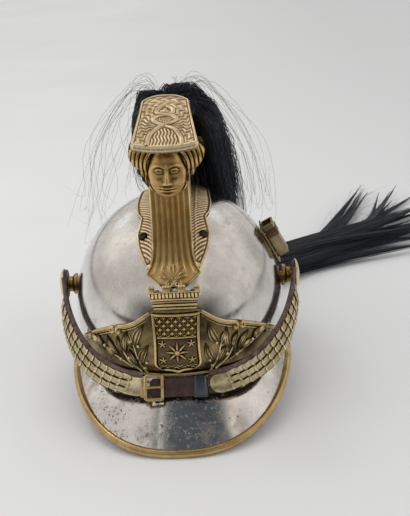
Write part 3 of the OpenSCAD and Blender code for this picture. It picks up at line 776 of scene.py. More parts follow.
@dataclass(frozen=True)
class Painted(Finish):
    """A plain matt coat for the paper floor, with painted light paler to the left and a painted dark
    reflection for glossy rays past its front edge.
    """

    shade: str = "#eeedec"
    gloom: str = "#2a2723"
    edge: float = -0.34

    def build(self) -> bpy.types.Material:
        """Builds the paper.

        Returns:
            The material.
        """
        mat, tree, shader, place = self.start()
        cloud = self.noise(tree, place, 420, 2)
        axes = add(tree, "ShaderNodeSeparateXYZ", {0: place}).outputs
        # painted light: the paper is painted paler towards the left and greyer towards the right, as light
        # falling from the left
        base = self.mix(tree, self.span(tree, axes[0], -0.35, 0.45, 0, 1), "#fdfdfd", "#e9e9ea")
        base = self.mix(tree, self.math(tree, "MULTIPLY", cloud, 0.3), base, self.shade)
        # painted dark reflection: past the front edge glossy rays see the paper in the gloom colour, so the
        # metal mirrors a dark room there
        past = self.span(tree, axes[1], self.edge + 0.06, self.edge - 0.3, 0, 1)
        mirrored = self.math(tree, "MULTIPLY", past,
                             add(tree, "ShaderNodeLightPath").outputs["Is Glossy Ray"])
        self.link(tree, shader, Base_Color=self.mix(tree, mirrored, base, self.gloom))
        shader.inputs["Roughness"].default_value = 0.8
        shader.inputs["Specular IOR Level"].default_value = 0.2
        return mat


# Shapes that several pieces share


@dataclass(frozen=True)
class BowlShape:
    """The outside of the steel bowl."""

    half_w: float = 95
    half_l: float = 112
    widest_z: float = 80
    dome_h: float = 100
    low_h: float = 140
    rim_z: float = 42
    wall: float = 1.4
    seat: float = 0.25

    @property
    def k(self) -> float:
        """Length over width."""
        return self.half_l / self.half_w

    def radius(self, z: Points) -> Points:
        """Half width at a height."""
        up = np.sqrt(np.clip(1 - ((z - self.widest_z) / self.dome_h) ** 2, 0, 1))
        low = np.sqrt(np.clip(1 - ((self.widest_z - z) / self.low_h) ** 2, 0, 1))
        return self.half_w * np.where(z >= self.widest_z, up, low)

    def by_angle(self, u: Points, z: Points, off: Points) -> Points:
        """A point at an angle from the front in degrees, a height and an offset."""
        r, w = self.radius(z) + off, np.radians(u)
        return np.stack(np.broadcast_arrays(r * np.sin(w), -self.k * r * np.cos(w), z), -1)

    def by_x(self, x: Points, z: Points, off: Points) -> Points:
        """A point on the front at a side position, a height and an offset."""
        r = self.radius(z) + off
        return np.stack(np.broadcast_arrays(x, -self.k * np.sqrt(np.clip(r * r - x * x, 0, None)), z), -1)

    def top(self, x: Points, y: Points, off: Points) -> Points:
        """The height over a plan position."""
        return self.widest_z + (self.dome_h + off) * np.sqrt(np.clip(
            1 - (x / (self.half_w + off)) ** 2 - (y / (self.half_l + off)) ** 2, 1e-4, None))

    def normal(self, x: Points, y: Points, z: Points) -> Points:
        """The outward direction at a point of the dome."""
        slope = x / self.half_w ** 2, y / self.half_l ** 2, (z - self.widest_z) / self.dome_h ** 2
        return unit(np.stack(slope, -1))


BOWL = BowlShape()


@dataclass(frozen=True)
class StrapPath:
    """The path of a chinstrap from the buckle at 0 degrees to its stud at 90."""

    flat: float = 20
    half_span: float = 105.5
    boss_y: float = 5
    boss_z: float = 94
    reach: float = 120
    front_z: float = 46
    tilt: float = 35
    front_w: float = 22
    rear_w: float = 27
    leather_t: float = 2.2

    def point(self, a: Points) -> Points:
        """The centre line at an angle."""
        w = np.radians(a)
        rise = np.clip(1 - np.cos(w), 0, None) ** 1.25
        return np.stack([self.flat + (self.half_span - self.flat) * np.sin(w),
                         self.boss_y - (self.reach + self.boss_y) * np.cos(w),
                         self.front_z + (self.boss_z - self.front_z) * rise], -1)

    def width(self, a: Points) -> Points:
        """The leather's width at an angle."""
        return self.front_w + (self.rear_w - self.front_w) * a / 90

    def axes(self, a: Points) -> tuple[Points, Points, Points, Points]:
        """The path's point, direction, width direction and outward normal.

        Args:
            a: Angles in degrees.

        Returns:
            Four arrays of n by 3.
        """
        a = np.atleast_1d(np.asarray(a, dtype=float))
        t = unit(self.point(np.minimum(90, a + 0.4)) - self.point(np.maximum(0, a - 0.4)))
        b = unit(np.array([0, 0, 1.0]) - t[:, 2:3] * t)
        n = np.cross(t, b)
        k = np.radians(self.tilt * np.clip(np.cos(np.radians(a)), 0, None) ** 0.8)[:, None]
        return self.point(a), t, np.cos(k) * b - np.sin(k) * n, np.sin(k) * b + np.cos(k) * n


STRAP = StrapPath()


@dataclass
class Assembly:
    """A group of pieces that are built and dressed together."""

    finishes: dict
    made: list = field(default_factory=list, init=False)

    def done(self, obj: bpy.types.Object, finish: str, body: Body, slot: str, *nodes: str) -> None:
        """Dresses a piece, sets it on its body and hides the nodes that it replaces.

        Args:
            obj: The piece.
            finish: The name of its finish.
            body: The body that it moves with.
            slot: The record's material slot; not used.
            *nodes: The nodes that it replaces.
        """
        obj.data.materials.clear()
        obj.data.materials.append(self.finishes[finish])
        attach(obj, body.value)
        if nodes:
            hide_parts(*nodes)
        self.made.append(obj.name)

    def keep(self, node: str, finish: str) -> None:
        """Gives a node of the model that stays a finish."""
        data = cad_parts[node].data
        data.materials.clear()
        data.materials.append(self.finishes[finish])


# The steel shell


@dataclass
class Shell(Assembly):
    """Bowl, visor and neck guard with their brass edging."""

    visor_half_w: float = 97
    visor_reach: float = 155
    guard_reach: float = 172
    side_z: float = 34
    power: float = 2.45
    edging_r: float = 3.6
    sheet_t: float = 1.2
    flange_z: float = 44
    flange_h: float = 6

    def bowl(self) -> None:
        """Raises the bowl from a sphere that is cut at the rim."""
        deselect()
        bpy.ops.mesh.primitive_uv_sphere_add(segments=128, ring_count=72, radius=1)
        obj = bpy.context.object
        obj.name = "steel_bowl"
        p = coords(obj) * MM
        z = np.where(p[:, 2] >= 0, BOWL.widest_z + BOWL.dome_h * p[:, 2],
                     BOWL.widest_z + BOWL.low_h * p[:, 2])
        move_to(obj, np.stack([BOWL.half_w * p[:, 0], BOWL.half_l * p[:, 1], z], 1))
        take(obj)
        bpy.ops.object.mode_set(mode="EDIT")
        bpy.ops.mesh.select_all(action="SELECT")
        bpy.ops.mesh.bisect(plane_co=(0, 0, BOWL.rim_z * MM), plane_no=(0, 0, 1), clear_inner=True)
        bpy.ops.object.mode_set(mode="OBJECT")
        apply(obj, "SOLIDIFY", thickness=BOWL.wall * MM, offset=-1.0)
        smooth(obj)
        self.done(obj, "steel", Body.HELMET, "polished_steel", "bowl")

    def edge(self, t: Points, side: int) -> Points:
        """The outer edge of the visor (side -1) or the neck guard (side 1).

        Args:
            t: Angles in degrees from the middle.
            side: Which of the two.

        Returns:
            Points on the middle of the edging.
        """
        w = np.radians(t)
        reach = self.visor_reach if side < 0 else self.guard_reach
        q = (np.abs(np.sin(w)) ** self.power + np.abs(np.cos(w)) ** self.power) ** (-1 / self.power)
        f = (q * np.cos(w)) ** 2
        return np.stack([self.visor_half_w * q * np.sin(w) * -side, side * reach * q * np.cos(w),
                         self.side_z * (1 - f) + self.edging_r * f], -1)

    def brim(self, name: str, side: int, node: str, finish: str) -> None:
        """Shapes the visor or the neck guard from the riveted flange to its edge.

        Args:
            name: The piece's name.
            side: -1 for the visor, 1 for the neck guard.
            node: The node that it replaces.
            finish: Its finish.
        """

        def place(s: Points, t: Points) -> Points:
            """Puts a grid point on the sheet."""
            p = self.edge((s * 2 - 1) * 89.6, side)
            u = np.degrees(np.arctan2(p[:, 0], -p[:, 1] / BOWL.k))
            off = BOWL.seat + self.sheet_t
            top = BOWL.by_angle(u, np.full_like(s, self.flange_z + self.flange_h), off)
            bend = BOWL.by_angle(u, np.full_like(s, self.flange_z + 1.4), off)
            out = unit(p - bend)
            end = p - out * self.edging_r * 0.3
            v = ((t - 0.14) / 0.86)[:, None]
            line = bend + (end - bend) * v
            # a rolled bend at the flange and a slight crown over the visor
            line[:, 2] += (1.3 * np.sin(np.pi * v[:, 0].clip(0, 1)) - 0.9 * np.exp(-(v[:, 0] / 0.07) ** 2))
            low = top + (bend - top) * (t / 0.14)[:, None]
            return np.where((t <= 0.14)[:, None], low, line)

        obj = sheet(name, 120, 36, place, wall=self.sheet_t, inside=(0, 0, -400))
        self.done(obj, finish, Body.HELMET, "polished_steel", node)

    def edging(self, name: str, side: int, node: str) -> None:
        """Rolls the brass edging round a brim.

        Args:
            name: The piece's name.
            side: -1 for the visor, 1 for the neck guard.
            node: The node that it replaces.
        """
        t = np.linspace(-89.6, 89.6, 161)
        p = self.edge(t, side)
        u = np.degrees(np.arctan2(p[:, 0], -p[:, 1] / BOWL.k))
        out = unit(p - BOWL.by_angle(u, np.full_like(t, self.flange_z), BOWL.seat))
        up = unit(np.cross(unit(np.gradient(p, axis=0)), out))
        up *= np.sign(up[:, 2:3])

        def place(s: Points, v: Points) -> Points:
            """Puts a grid point on the roll, with a lip where the sheet goes in."""
            i = np.rint(v * 160).astype(int)
            w = 2 * np.pi * s
            r = self.edging_r * (1 - 0.16 * np.exp(-((np.abs(w - np.pi)) / 0.22) ** 2))
            return p[i] + (r * np.cos(w))[:, None] * out[i] + (r * 0.96 * np.sin(w))[:, None] * up[i]

        obj = sheet(name, 28, 160, place, closed=True)
        self.done(obj, "edging", Body.HELMET, "edging_brass", node)

    def build(self) -> None:
        """Builds the shell."""
        self.bowl()
        self.brim("visor_sheet", -1, "visor", "visor_steel")
        self.brim("neck_guard_sheet", 1, "neck_guard", "visor_steel")
        self.edging("visor_roll", -1, "visor_edging")
        self.edging("neck_guard_roll", 1, "neck_guard_edging")
        self.keep("visor_rivets", "brass")
        self.keep("neck_guard_rivets", "brass")


# The front plate


@dataclass
class FrontPlate(Assembly):
    """The stamped plate with its sprays, the shield and the mural crown."""

    angle: float = 62
    bottom_z: float = 51.8
    top_z: float = 112
    sheet_t: float = 1.2
    shield_half_w: float = 20.2
    shield_top: float = 108.5
    shield_h: float = 51
    shield_t: float = 1.6
    crown_z: float = 113
    crown_h: float = 18
    scroll_u: float = 32.5

    def rim(self, u: Points) -> Points:
        """The height of the plate's upper edge at an angle."""
        a = np.abs(u)
        line = self.top_z - 0.87 * np.clip(a - 12, 0, None)
        dip = np.where((a > 12) & (a < self.scroll_u), np.sin(np.pi * (a - 12) / (self.scroll_u - 12)), 0)
        share = (a - self.scroll_u) / (self.angle - self.scroll_u)
        rise = np.where(a > self.scroll_u, np.sin(np.pi * share), 0)
        return line - 3.2 * dip + 1.6 * rise

    def at(self, u: Points, z: Points, h: Points) -> Points:
        """A point over the plate's face."""
        return BOWL.by_angle(u, z, BOWL.seat + self.sheet_t + h)

    def plate(self) -> None:
        """Stamps the plate, with a sunk field between raised borders."""

        def parts(s: Points, t: Points) -> tuple[Points, Points, Points]:
            """Angle, height and rim for two parameters."""
            u = (s * 2 - 1) * self.angle
            top = self.rim(u)
            return u, self.bottom_z + (top - self.bottom_z) * t, top

        def base(s: Points, t: Points, h: Points) -> Points:
            """Puts a grid point on the plate."""
            u, z, _ = parts(s, t)
            return self.at(u, z, h)

        def height(s: Points, t: Points) -> Points:
            """The relief of the plate."""
            u, z, top = parts(s, t)
            edge = np.minimum(top - z, (self.angle - np.abs(u)) * 1.6)
            low = z - self.bottom_z
            field_h = -0.5 * ramp(edge, 3.4, 5) * ramp(low, 2, 3.5)
            lines = 0.25 * bump(edge - 5.6, 0.7)
            return field_h + lines * (np.abs(u) > 13) + 0.5 * bump(low - 1.2, 1.2)

        obj = embossed("plate_sheet", 300, 80, base, height, wall=self.sheet_t)
        self.done(obj, "plate_brass", Body.HELMET, "brass", "frontal_plate")

    def border(self) -> None:
        """Lays the raised border with its paired scrolls."""
        bars = []
        for s in (-1, 1):
            a = self.scroll_u
            inner = [(u, float(self.rim(np.array(u))) - 1.6) for u in np.linspace(13.5, a - 1.6, 10)]
            w = np.linspace(0.3, 1.75 * np.pi, 12)
            r = np.linspace(2.6, 0.9, 12)
            uc, zc = a - 1.9, float(self.rim(np.array(a))) - 4.6
            inner += [(uc + r[i] * np.sin(w[i]) / 1.65, zc + r[i] * np.cos(w[i])) for i in range(12)]
            steps = np.linspace(self.angle - 0.8, a + 3.4, 12)
            outer = [(u, float(self.rim(np.array(u))) - 1.6) for u in steps]
            uc, zc = a + 2.6, float(self.rim(np.array(a + 2))) - 4.4
            outer += [(uc - r[i] * np.sin(w[i]) / 1.65, zc + r[i] * np.cos(w[i])) for i in range(12)]
            for k, path in enumerate((inner, outer)):
                q = spread(path, 90)
                pts = self.at(s * q[:, 0], q[:, 1], np.full(90, 0.5))
                taper = np.interp(np.linspace(0, 1, 90), [0, 0.06, 0.7, 0.93, 1], [0.9, 1.5, 1.5, 1.0, 1.3])
                bars.append(tube(f"border_{s}_{k}", pts, taper, 10, up=(0, -1, 0.2), flat=0.8))
        self.done(join("plate_border_roll", bars), "bright_brass", Body.HELMET, "brass", "plate_border")

    def leaf(self, name: str, u: float, z: float, turn: float, length: float,
             width: float) -> bpy.types.Object:
        """Models a laurel leaf with its midrib on the plate.

        Args:
            name: The piece's name.
            u: Angle of its root.
            z: Height of its root.
            turn: Direction of its tip in degrees from the level.
            length: Its length.
            width: Its width.

        Returns:
            The leaf.
        """
        w = math.radians(turn)

        def place(s: Points, t: Points) -> Points:
            """Puts a grid point on the leaf."""
            half = width / 2 * np.sin(np.pi * t ** 0.85) ** 0.8
            x = length * t
            y = (s * 2 - 1) * half + 0.09 * length * np.sin(np.pi * t)
            q = np.abs(s * 2 - 1)
            form = 1.0 - q ** 6 + 0.8 * bump(q - 0.8, 0.22) + 0.7 * bump(q, 0.16)
            h = 0.2 + form * np.sin(np.pi * t) ** 0.5
            r = BOWL.radius(np.full_like(t, z)) + 1.5
            du = np.degrees((x * math.cos(w) - y * math.sin(w)) / r)
            return self.at(u + du, z + x * math.sin(w) + y * math.cos(w), h * 1.15 - 0.5)

        obj = sheet(name, 14, 14, place, wall=0.5)
        co = coords(obj)
        high = np.hypot(co[:, 0], co[:, 1] / BOWL.k) - BOWL.radius(co[:, 2]) - BOWL.seat - self.sheet_t + 0.5
        relief_map(obj, ((high - 1.75) / 0.5).clip(-0.4, 0.8))
        return obj

    def sprays(self) -> None:
        """Sets the leaves, stems and berries of the sprays on both sides."""
        # angle, height, turn, length and width of each leaf on the wearer's left
        leaves = [(22, 76, 112, 25, 7.4), (19.4, 60, 112, 23, 6.8), (22.5, 76, 64, 15, 5),
                  (20.5, 60, 62, 17, 5), (27.4, 69, 96, 23, 5.6), (28.6, 69, 70, 17, 5),
                  (31.5, 66.5, 52, 20, 5.6), (33.5, 65.5, 30, 15, 5), (43.5, 73, 20, 15, 4.8),
                  (41.5, 70, 52, 13, 4.4), (50, 71.5, 38, 12, 4)]
        berries = [(19.8, 79), (15.8, 64.3), (25.2, 66.7), (40.8, 71.6), (17.2, 58.5), (24.2, 82),
                   (36.5, 70.5), (30.6, 63.2)]
        stems = [[(16, 54), (18.6, 60), (20.8, 69), (22.2, 78), (24.5, 88)],
                 [(19, 55), (25, 62), (28, 70), (31, 80)], [(24, 58), (32, 64), (41, 70), (52, 76)]]
        parts = []
        for s in (-1, 1):
            for k, (u, z, turn, length, width) in enumerate(leaves):
                if s > 0:
                    parts.append(self.leaf(f"leaf_{k}", u, z, turn, length, width))
                else:
                    parts.append(self.leaf(f"leaf_m{k}", -u, z, 180 - turn, length, width))
            for u, z in berries:
                c = self.at(np.array([s * u]), np.array([float(z)]), np.array([0.2]))[0]
                parts.append(pearl(c, 1.55, 14))
            for k, stem in enumerate(stems):
                q = spread(stem, 30)
                pts = self.at(s * q[:, 0], q[:, 1], np.full(30, 0.1))
                parts.append(tube(f"stem_{s}_{k}", pts, np.linspace(0.9, 0.5, 30), 8, up=(0, -1, 0.2)))
        for part in parts:
            if not part.name.startswith("leaf"):
                relief_map(part, 0.5)
        self.done(join("laurel_sprays", parts), "leaf_brass", Body.HELMET, "brass", "plate_leaves")

    def shield(self) -> None:
        """Stamps the shield: a moulded frame, lozenges above, and a large star among four small ones."""

        def half(f: Points) -> Points:
            """Half width at a share of the height."""
            low = np.sqrt(np.clip(1 - np.clip((f - 0.84) / 0.161, 0, 1) ** 2.4, 0.004, 1))
            sides = 1 - 0.04 * np.sin(np.pi * f.clip(0, 0.84) / 0.84)
            return self.shield_half_w * np.where(f < 0.84, sides, low)

        def parts(s: Points, t: Points) -> tuple[Points, Points]:
            """Side position and height for two parameters."""
            x = (s * 2 - 1) * half(t)
            drop = self.shield_h * t + 1.4 * bell(x, 3.4) * ramp(t, 0.9, 1)
            drop -= 0.8 * ramp(t, 0.8, 1) * bell(np.abs(x) - 8, 5)
            return x, self.shield_top - drop

        def base(s: Points, t: Points, h: Points) -> Points:
            """Puts a grid point on the shield."""
            x, z = parts(s, t)
            return BOWL.by_x(x, z, BOWL.seat + self.sheet_t + self.shield_t + h)

        def star(x: Points, z: Points, cx: float, cz: float, r: float, points: int) -> Points:
            """The height of a faceted star."""
            a = np.arctan2(x - cx, z - cz)
            d = np.hypot(x - cx, z - cz)
            w = np.abs(((a * points / (2 * np.pi)) % 1) - 0.5) * 2
            return np.clip(1 - d / (r * (0.40 + 0.60 * w ** 1.5)), 0, 1)

        def height(s: Points, t: Points) -> Points:
            """The relief of the shield."""
            x, z = parts(s, t)
            side = half(t) - np.abs(x)
            edge = np.minimum(np.minimum(side, self.shield_top - z), (1 - t) * self.shield_h)
            h = 0.9 * bump(edge - 1.2, 1.2) - 0.5 * ramp(edge, 2.2, 3)
            split = 88.6
            inside = ramp(edge, 2.6, 3.4)
            pitch = 6.6
            a, b = (x + z) / pitch, (x - z) / pitch
            u, v = (a % 1) - 0.5, (b % 1) - 0.5
            grid = bump(0.5 - np.maximum(np.abs(u), np.abs(v)), 0.12)
            px, pz = (u + v) * pitch / 2, (u - v) * pitch / 2
            petals = np.maximum(bump(np.hypot(px / 2.1, pz / 0.7), 1), bump(np.hypot(px / 0.7, pz / 2.1), 1))
            h += inside * ramp(z, split + 0.8, split + 1.4) * (0.45 * grid + 1.9 * petals - 0.3)
            h += inside * 0.55 * bump(z - split, 0.9)
            field_h = 2.0 * star(x, z, 0, 75.4, 10.6, 8) + 1.3 * bump(np.hypot(x, z - 75.4), 2.4)
            for cx in (-12, 12):
                field_h = np.maximum(field_h, 1.3 * star(x, z, cx, 83, 4.2, 5))
                field_h = np.maximum(field_h, 1.3 * star(x, z, cx, 68, 4.2, 5))
            waves = 0.4 * bump(np.abs(((z + 0.8 * np.sin(x * 0.9)) / 2.3) % 1 - 0.5), 0.32)
            below = 1 - ramp(z, split - 1, split - 0.4)
            h += inside * below * (field_h + waves * (1 - ramp(z, 62.5, 64.5)))
            return h

        obj = embossed("shield_relief", 140, 170, base, height, wall=self.shield_t)
        self.done(obj, "shield_brass", Body.HELMET, "brass", "shield")

    def crown(self) -> None:
        """Builds the mural crown: moulded base, a coursed wall and towers."""
        low_w, top_w = 17.4, 21.2

        def parts(s: Points, t: Points) -> tuple[Points, Points]:
            """Side position and height."""
            return (s * 2 - 1) * (low_w + (top_w - low_w) * t ** 1.4), self.crown_z - 5.4 + 18.6 * t

        def front(x: Points, z: Points, h: Points) -> Points:
            """A point on the crown's wall, which leans out and bows forward."""
            p = BOWL.by_x(x, np.full_like(x, self.crown_z), 0.35 + h)
            lean = 2.2 + 2.6 * np.clip((z - self.crown_z) / self.crown_h, 0, 1) - 1.2 * (x / top_w) ** 2
            return np.stack([p[:, 0], p[:, 1] - lean, z + 2.0 * (1 - (x / top_w) ** 2)], 1)

        def base(s: Points, t: Points, h: Points) -> Points:
            """Puts a grid point on the wall."""
            x, z = parts(s, t)
            return front(x, z, h)

        def height(s: Points, t: Points) -> Points:
            """The mouldings and the courses of stone."""
            x, z = parts(s, t)
            bands = ((0.9, 110.4, 1.0), (1.1, 113.4, 1.2), (1.0, 118.6, 1.1), (0.9, 125.6, 1.0))
            h = sum(high * bump(z - mid, half) for high, mid, half in bands)
            wall = ramp(z, 119.6, 120.2) * (1 - ramp(z, 124.4, 124.9))
            joint = bump(((x / 3.0) % 1) - 0.5, 0.2)
            return h + wall * (0.5 - 0.55 * joint)

        parts_made = [embossed("crown_wall", 130, 60, base, height, wall=1.8)]
        for k, x in enumerate((-18.6, -6.3, 6.3, 18.6)):
            w = 6.2 if abs(x) < 10 else 4.6
            p = front(np.array([float(x)]), np.array([128.0]), np.array([-0.6]))[0]
            n = BOWL.normal(p[0], p[1], 100)
            z_ax = np.array([0, 0, 1.0])
            y_ax = unit(np.array([n[0], n[1], 0]))
            x_ax = np.cross(y_ax, z_ax)
            parts_made.append(block(f"tower_{k}", (w, 3.2, 4.6), 0.5, basis(p, x_ax, y_ax, z_ax)))
            for j in (-1, 0, 1):
                bead = pearl(p + x_ax * j * w * 0.33 + z_ax * 2.5 + y_ax * 0.7, 1.05, 12)
                relief_map(bead, 0.9)
                parts_made.append(bead)
        self.done(join("mural_crown_relief", parts_made), "crown_brass", Body.HELMET, "brass", "mural_crown")

    def build(self) -> None:
        """Builds the front plate."""
        self.plate()
        self.border()
        self.sprays()
        self.shield()
        self.crown()


# The crest


@dataclass
class Crest(Assembly):
    """The fluted front, the mask, the top panel, the walls and the flanges."""

    flutes: int = 7
    cap_slope: float = 23
    cap_len: float = 63
    cap_front: float = 26
    cap_rear: float = 19
    cap_y: float = -115
    cap_z: float = 253
    cap_t: float = 3.4
    screw_seat: float = 1.95

    def fluted_front(self) -> None:
        """Stamps the fluted front down to its pointed foot."""
        path = spread([(-101, 128.2), (-99, 131.6), (-94.6, 138), (-90, 147), (-86.4, 158), (-84.2, 170),
                       (-83.2, 182), (-83.4, 194), (-84.4, 203), (-85, 210)], 121)

        def half(z: Points) -> Points:
            """Half width at a height, with the two points of the foot."""
            return np.interp(z, [128, 130, 133, 136, 137.6, 138.6, 143, 150, 160, 172, 215],
                             [7, 12.5, 16.5, 20.6, 23.2, 22.6, 19.6, 17.6, 16.2, 15.6, 15.4])

        def spot(s: Points, t: Points) -> tuple[Points, Points, Points]:
            """Side, front and height."""
            i = np.rint(t * 120).astype(int)
            return (s * 2 - 1) * half(path[i, 1]), path[i, 0], path[i, 1]

        def base(s: Points, t: Points, h: Points) -> Points:
            """Puts a grid point on the front."""
            x, y, z = spot(s, t)
            dy = np.gradient(path[:, 0])[np.rint(t * 120).astype(int)]
            dz = np.gradient(path[:, 1])[np.rint(t * 120).astype(int)]
            k = np.hypot(dy, dz)
            bow = 1.8 * (1 - (x / half(z)) ** 2)
            return np.stack([x, y - (h + bow) * dz / k, z + (h + bow) * dy / k], 1)

        def height(s: Points, t: Points) -> Points:
            """Flutes with narrow fillets, run out over the foot."""
            x, _, z = spot(s, t)
            q = np.abs(np.sin(np.pi * s * self.flutes))
            depth = ramp(z, 133, 150)
            h = 2.0 * (1 - 0.92 * q ** 0.75) * depth + 0.9 * (1 - depth)
            edge = np.minimum(half(z) - np.abs(x), z - 127.6)
            return h + 0.7 * bump(edge - 0.8, 0.8) * (1 - ramp(z, 150, 165))

        obj = embossed("fluted_front", 154, 100, base, height, wall=1.2, inside=(0, 0, 170), blur=9)
        self.done(obj, "flute_brass", Body.HELMET, "crest_brass", "crest_front")

    def palmette(self) -> None:
        """Lays the palmette on the foot."""
        lobes = []
        c, up = np.array([0, -102.2, 135.4]), unit(np.array([0, 0.52, 0.85]))
        right = np.array([1.0, 0, 0])
        out = np.cross(right, up)
        for k, a in enumerate(np.linspace(-78, 78, 7)):
            w = math.radians(a)
            d = math.sin(w) * right + math.cos(w) * up
            long = 12.6 - 1.0 * abs(a) / 78
            along = np.linspace(0.12, 1, 14)
            q = np.array([c + d * f * long + out * (0.6 + 1.2 * math.sin(math.pi * f)) for f in along])
            r = np.interp(np.linspace(0, 1, 14), [0, 0.5, 0.8, 0.9, 1], [0.5, 0.75, 0.65, 1.6, 0.9])
            lobes.append(tube(f"lobe_{k}", q, r, 10, up=out))
        w = np.linspace(0, 3.4 * np.pi, 40)
        for s in (-1, 1):
            r = 3.6 - w * 0.28
            side, high = s * (3.4 - r * np.cos(w)), -4.4 + r * np.sin(w)
            q = np.array([c + right * side[i] + up * high[i] + out * 0.9 for i in range(40)])
            lobes.append(tube(f"volute_{s}", q, np.linspace(0.9, 0.7, 40), 8, up=out))
        for lobe in lobes:
            relief_map(lobe, 0.5)
        self.done(join("palmette_relief", lobes), "bright_brass", Body.HELMET, "crest_brass",
                  "crest_palmette")

    def mask(self) -> None:
        """Models the generic calm mask with its swept hair on even thirds."""
        top_z, chin_z = 250.0, 203.6
        hair_line, eye_z, nose_z = 243.0, 228.6, 217.6
        mouth_z = nose_z - (nose_z - 204.5) / 3

        def outline(z: Points) -> Points:
            """Half width of mask and hair at a height."""
            return np.interp(z, [203.4, 204.4, 206.5, 210, 214, 218, 223, 228, 234, 240, 246, 250],
                             [2.0, 6.0, 9.4, 12.4, 14.6, 17.4, 21.6, 25.6, 29.4, 30.8, 29.6, 27.4])

        def spot(s: Points, t: Points) -> tuple[Points, Points]:
            """Side and height."""
            z = chin_z + (top_z - chin_z) * t
            return (s * 2 - 1) * outline(z), z

        def face(x: Points, z: Points) -> Points:
            """How far the face stands out."""
            dome = 1 - (x / 15.5) ** 2 - ((z - 226) / 22.6) ** 2
            h = 7.4 + 15.5 * np.sqrt(np.clip(dome, 0, None)) - 7 * (dome <= 0)
            for sx in (-1, 1):
                ex = x - sx * 6.1
                h -= 2.4 * bell(ex, 4.4) * bell(z - eye_z, 3.2)
                ball = np.clip(1 - (ex / 3.3) ** 2 - ((z - eye_z) / 2.2) ** 2, 0, 1)
                h += 1.35 * np.sqrt(ball)
                lid = eye_z + 1.7 * np.cos(np.clip(ex / 3.6, -1, 1) * 1.4)
                h += 0.5 * bell(z - lid, 0.6) * bell(ex, 3.4)
                low = eye_z - 1.5 * np.cos(np.clip(ex / 3.6, -1, 1) * 1.4)
                h += 0.15 * bell(z - low, 0.6) * bell(ex, 3.0)
                brow = eye_z + 4.4 - 0.05 * (np.abs(x) - 6.5) ** 2
                h += 1.1 * bell(z - brow, 1.0) * bell(ex - sx * 0.4, 4.0)
                h += 0.9 * bell(x - sx * 8.3, 3.6) * bell(z - 220.5, 4.4)
                h += 1.0 * bell(x - sx * 2.5, 1.25) * bell(z - nose_z - 0.9, 1.5)
                h -= 0.5 * bell(x - sx * 5.4, 1.2) * bell(z - mouth_z - 1.6, 3.0)
            run = ramp(z, eye_z + 4, nose_z + 1.4)
            width = 1.5 + 1.0 * run
            nose = (0.9 + 3.6 * run) * bell(x, width) * ramp(z, nose_z - 0.9, nose_z + 0.9)
            h += nose * (1 - ramp(z, eye_z + 2, eye_z + 6))
            h += 1.3 * bell(x, 4.6) * bell(z - mouth_z - 1.15, 0.95) * (1 - 0.25 * bell(x, 0.7))
            h += 1.5 * bell(x, 4.0) * bell(z - mouth_z + 1.35, 1.1)
            h -= 1.0 * bell(x, 5.4) * bell(z - mouth_z, 0.5)
            h -= 0.9 * bell(x, 4.2) * bell(z - mouth_z + 3.4, 1.1)
            h += 1.5 * bell(x, 4.2) * bell(z - 206.8, 2.6)
            return h

        def hair(x: Points, z: Points) -> Points:
            """How far the hair stands out, in wavy locks that run round the face."""
            wide = np.sqrt(np.clip(1 - (x / 31.2) ** 2 - ((z - 237) / 16.5) ** 2, 0, None)) * 17
            low = np.sqrt(np.clip(1 - (x / 23) ** 2 - ((z - 222) / 19) ** 2, 0, None)) * 13
            body = np.maximum(wide, low)
            away = np.sqrt((x / 14.2) ** 2 + ((z - 226) / 19.5) ** 2)
            turn = np.arctan2(np.abs(x), z - 224)
            lock = np.sin(away * 27 + 1.5 * np.sin(turn * 5.2) + 0.9 * np.sin(turn * 2.3 + 1))
            fine = np.sin(away * 55 + 2.2 * np.sin(turn * 4.7))
            locks = (0.85 * lock + 0.42 * fine) * ramp(away, 0.96, 1.1) * ramp(body, 0, 5)
            return body * ramp(away, 0.93, 1.12) + locks

        def height(s: Points, t: Points) -> Points:
            """The mask's relief."""
            x, z = spot(s, t)
            f = face(x, z) * (1 - ramp(z, hair_line - 1, hair_line + 3))
            return np.maximum(np.maximum(f, hair(x, z)), 0)

        def base(s: Points, t: Points, h: Points) -> Points:
            """Puts a grid point on the mask."""
            x, z = spot(s, t)
            return np.stack([x, -87.8 - h, z], 1)

        obj = embossed("mask", 170, 150, base, height, wall=1.2, inside=(0, 0, 228), blur=5)
        self.done(obj, "crest_brass", Body.HELMET, "crest_brass", "crest_head")

    def panel(self) -> None:
        """Stamps the top panel with its interlaced loops and wavy rays."""
        c, sn = math.cos(math.radians(self.cap_slope)), math.sin(math.radians(self.cap_slope))

        def spot(s: Points, t: Points) -> tuple[Points, Points]:
            """Side and place along the slope."""
            q = s * 2 - 1
            y = t * (self.cap_len - 7.4 * np.abs(q) ** 3)
            widths = [self.cap_front, self.cap_rear + 1.6, self.cap_rear, self.cap_rear - 1]
            return q * np.interp(y, [0, 40, 55, 63], widths), y

        def base(s: Points, t: Points, h: Points) -> Points:
            """Puts a grid point on the panel."""
            x, y = spot(s, t)
            bow = (1 - (x / self.cap_front) ** 2) * (1 - t) ** 2
            return np.stack([x, self.cap_y + y * c - h * sn - 2.4 * bow,
                             self.cap_z + y * sn + h * c - 3.4 * bow
                             + 1.0 * (1 - (x / self.cap_front) ** 2)], 1)

        strand = spread([(-13.6, 1), (-12.2, 10), (-7.6, 18.4), (0, 23.6), (6.5, 27), (9.4, 30.6), (6, 34.4),
                         (0, 36.2), (-5.6, 38.4), (-6.4, 42.4), (-3.4, 46.2), (0, 48.4)], 80)
        other = strand * np.array([-1, 1])

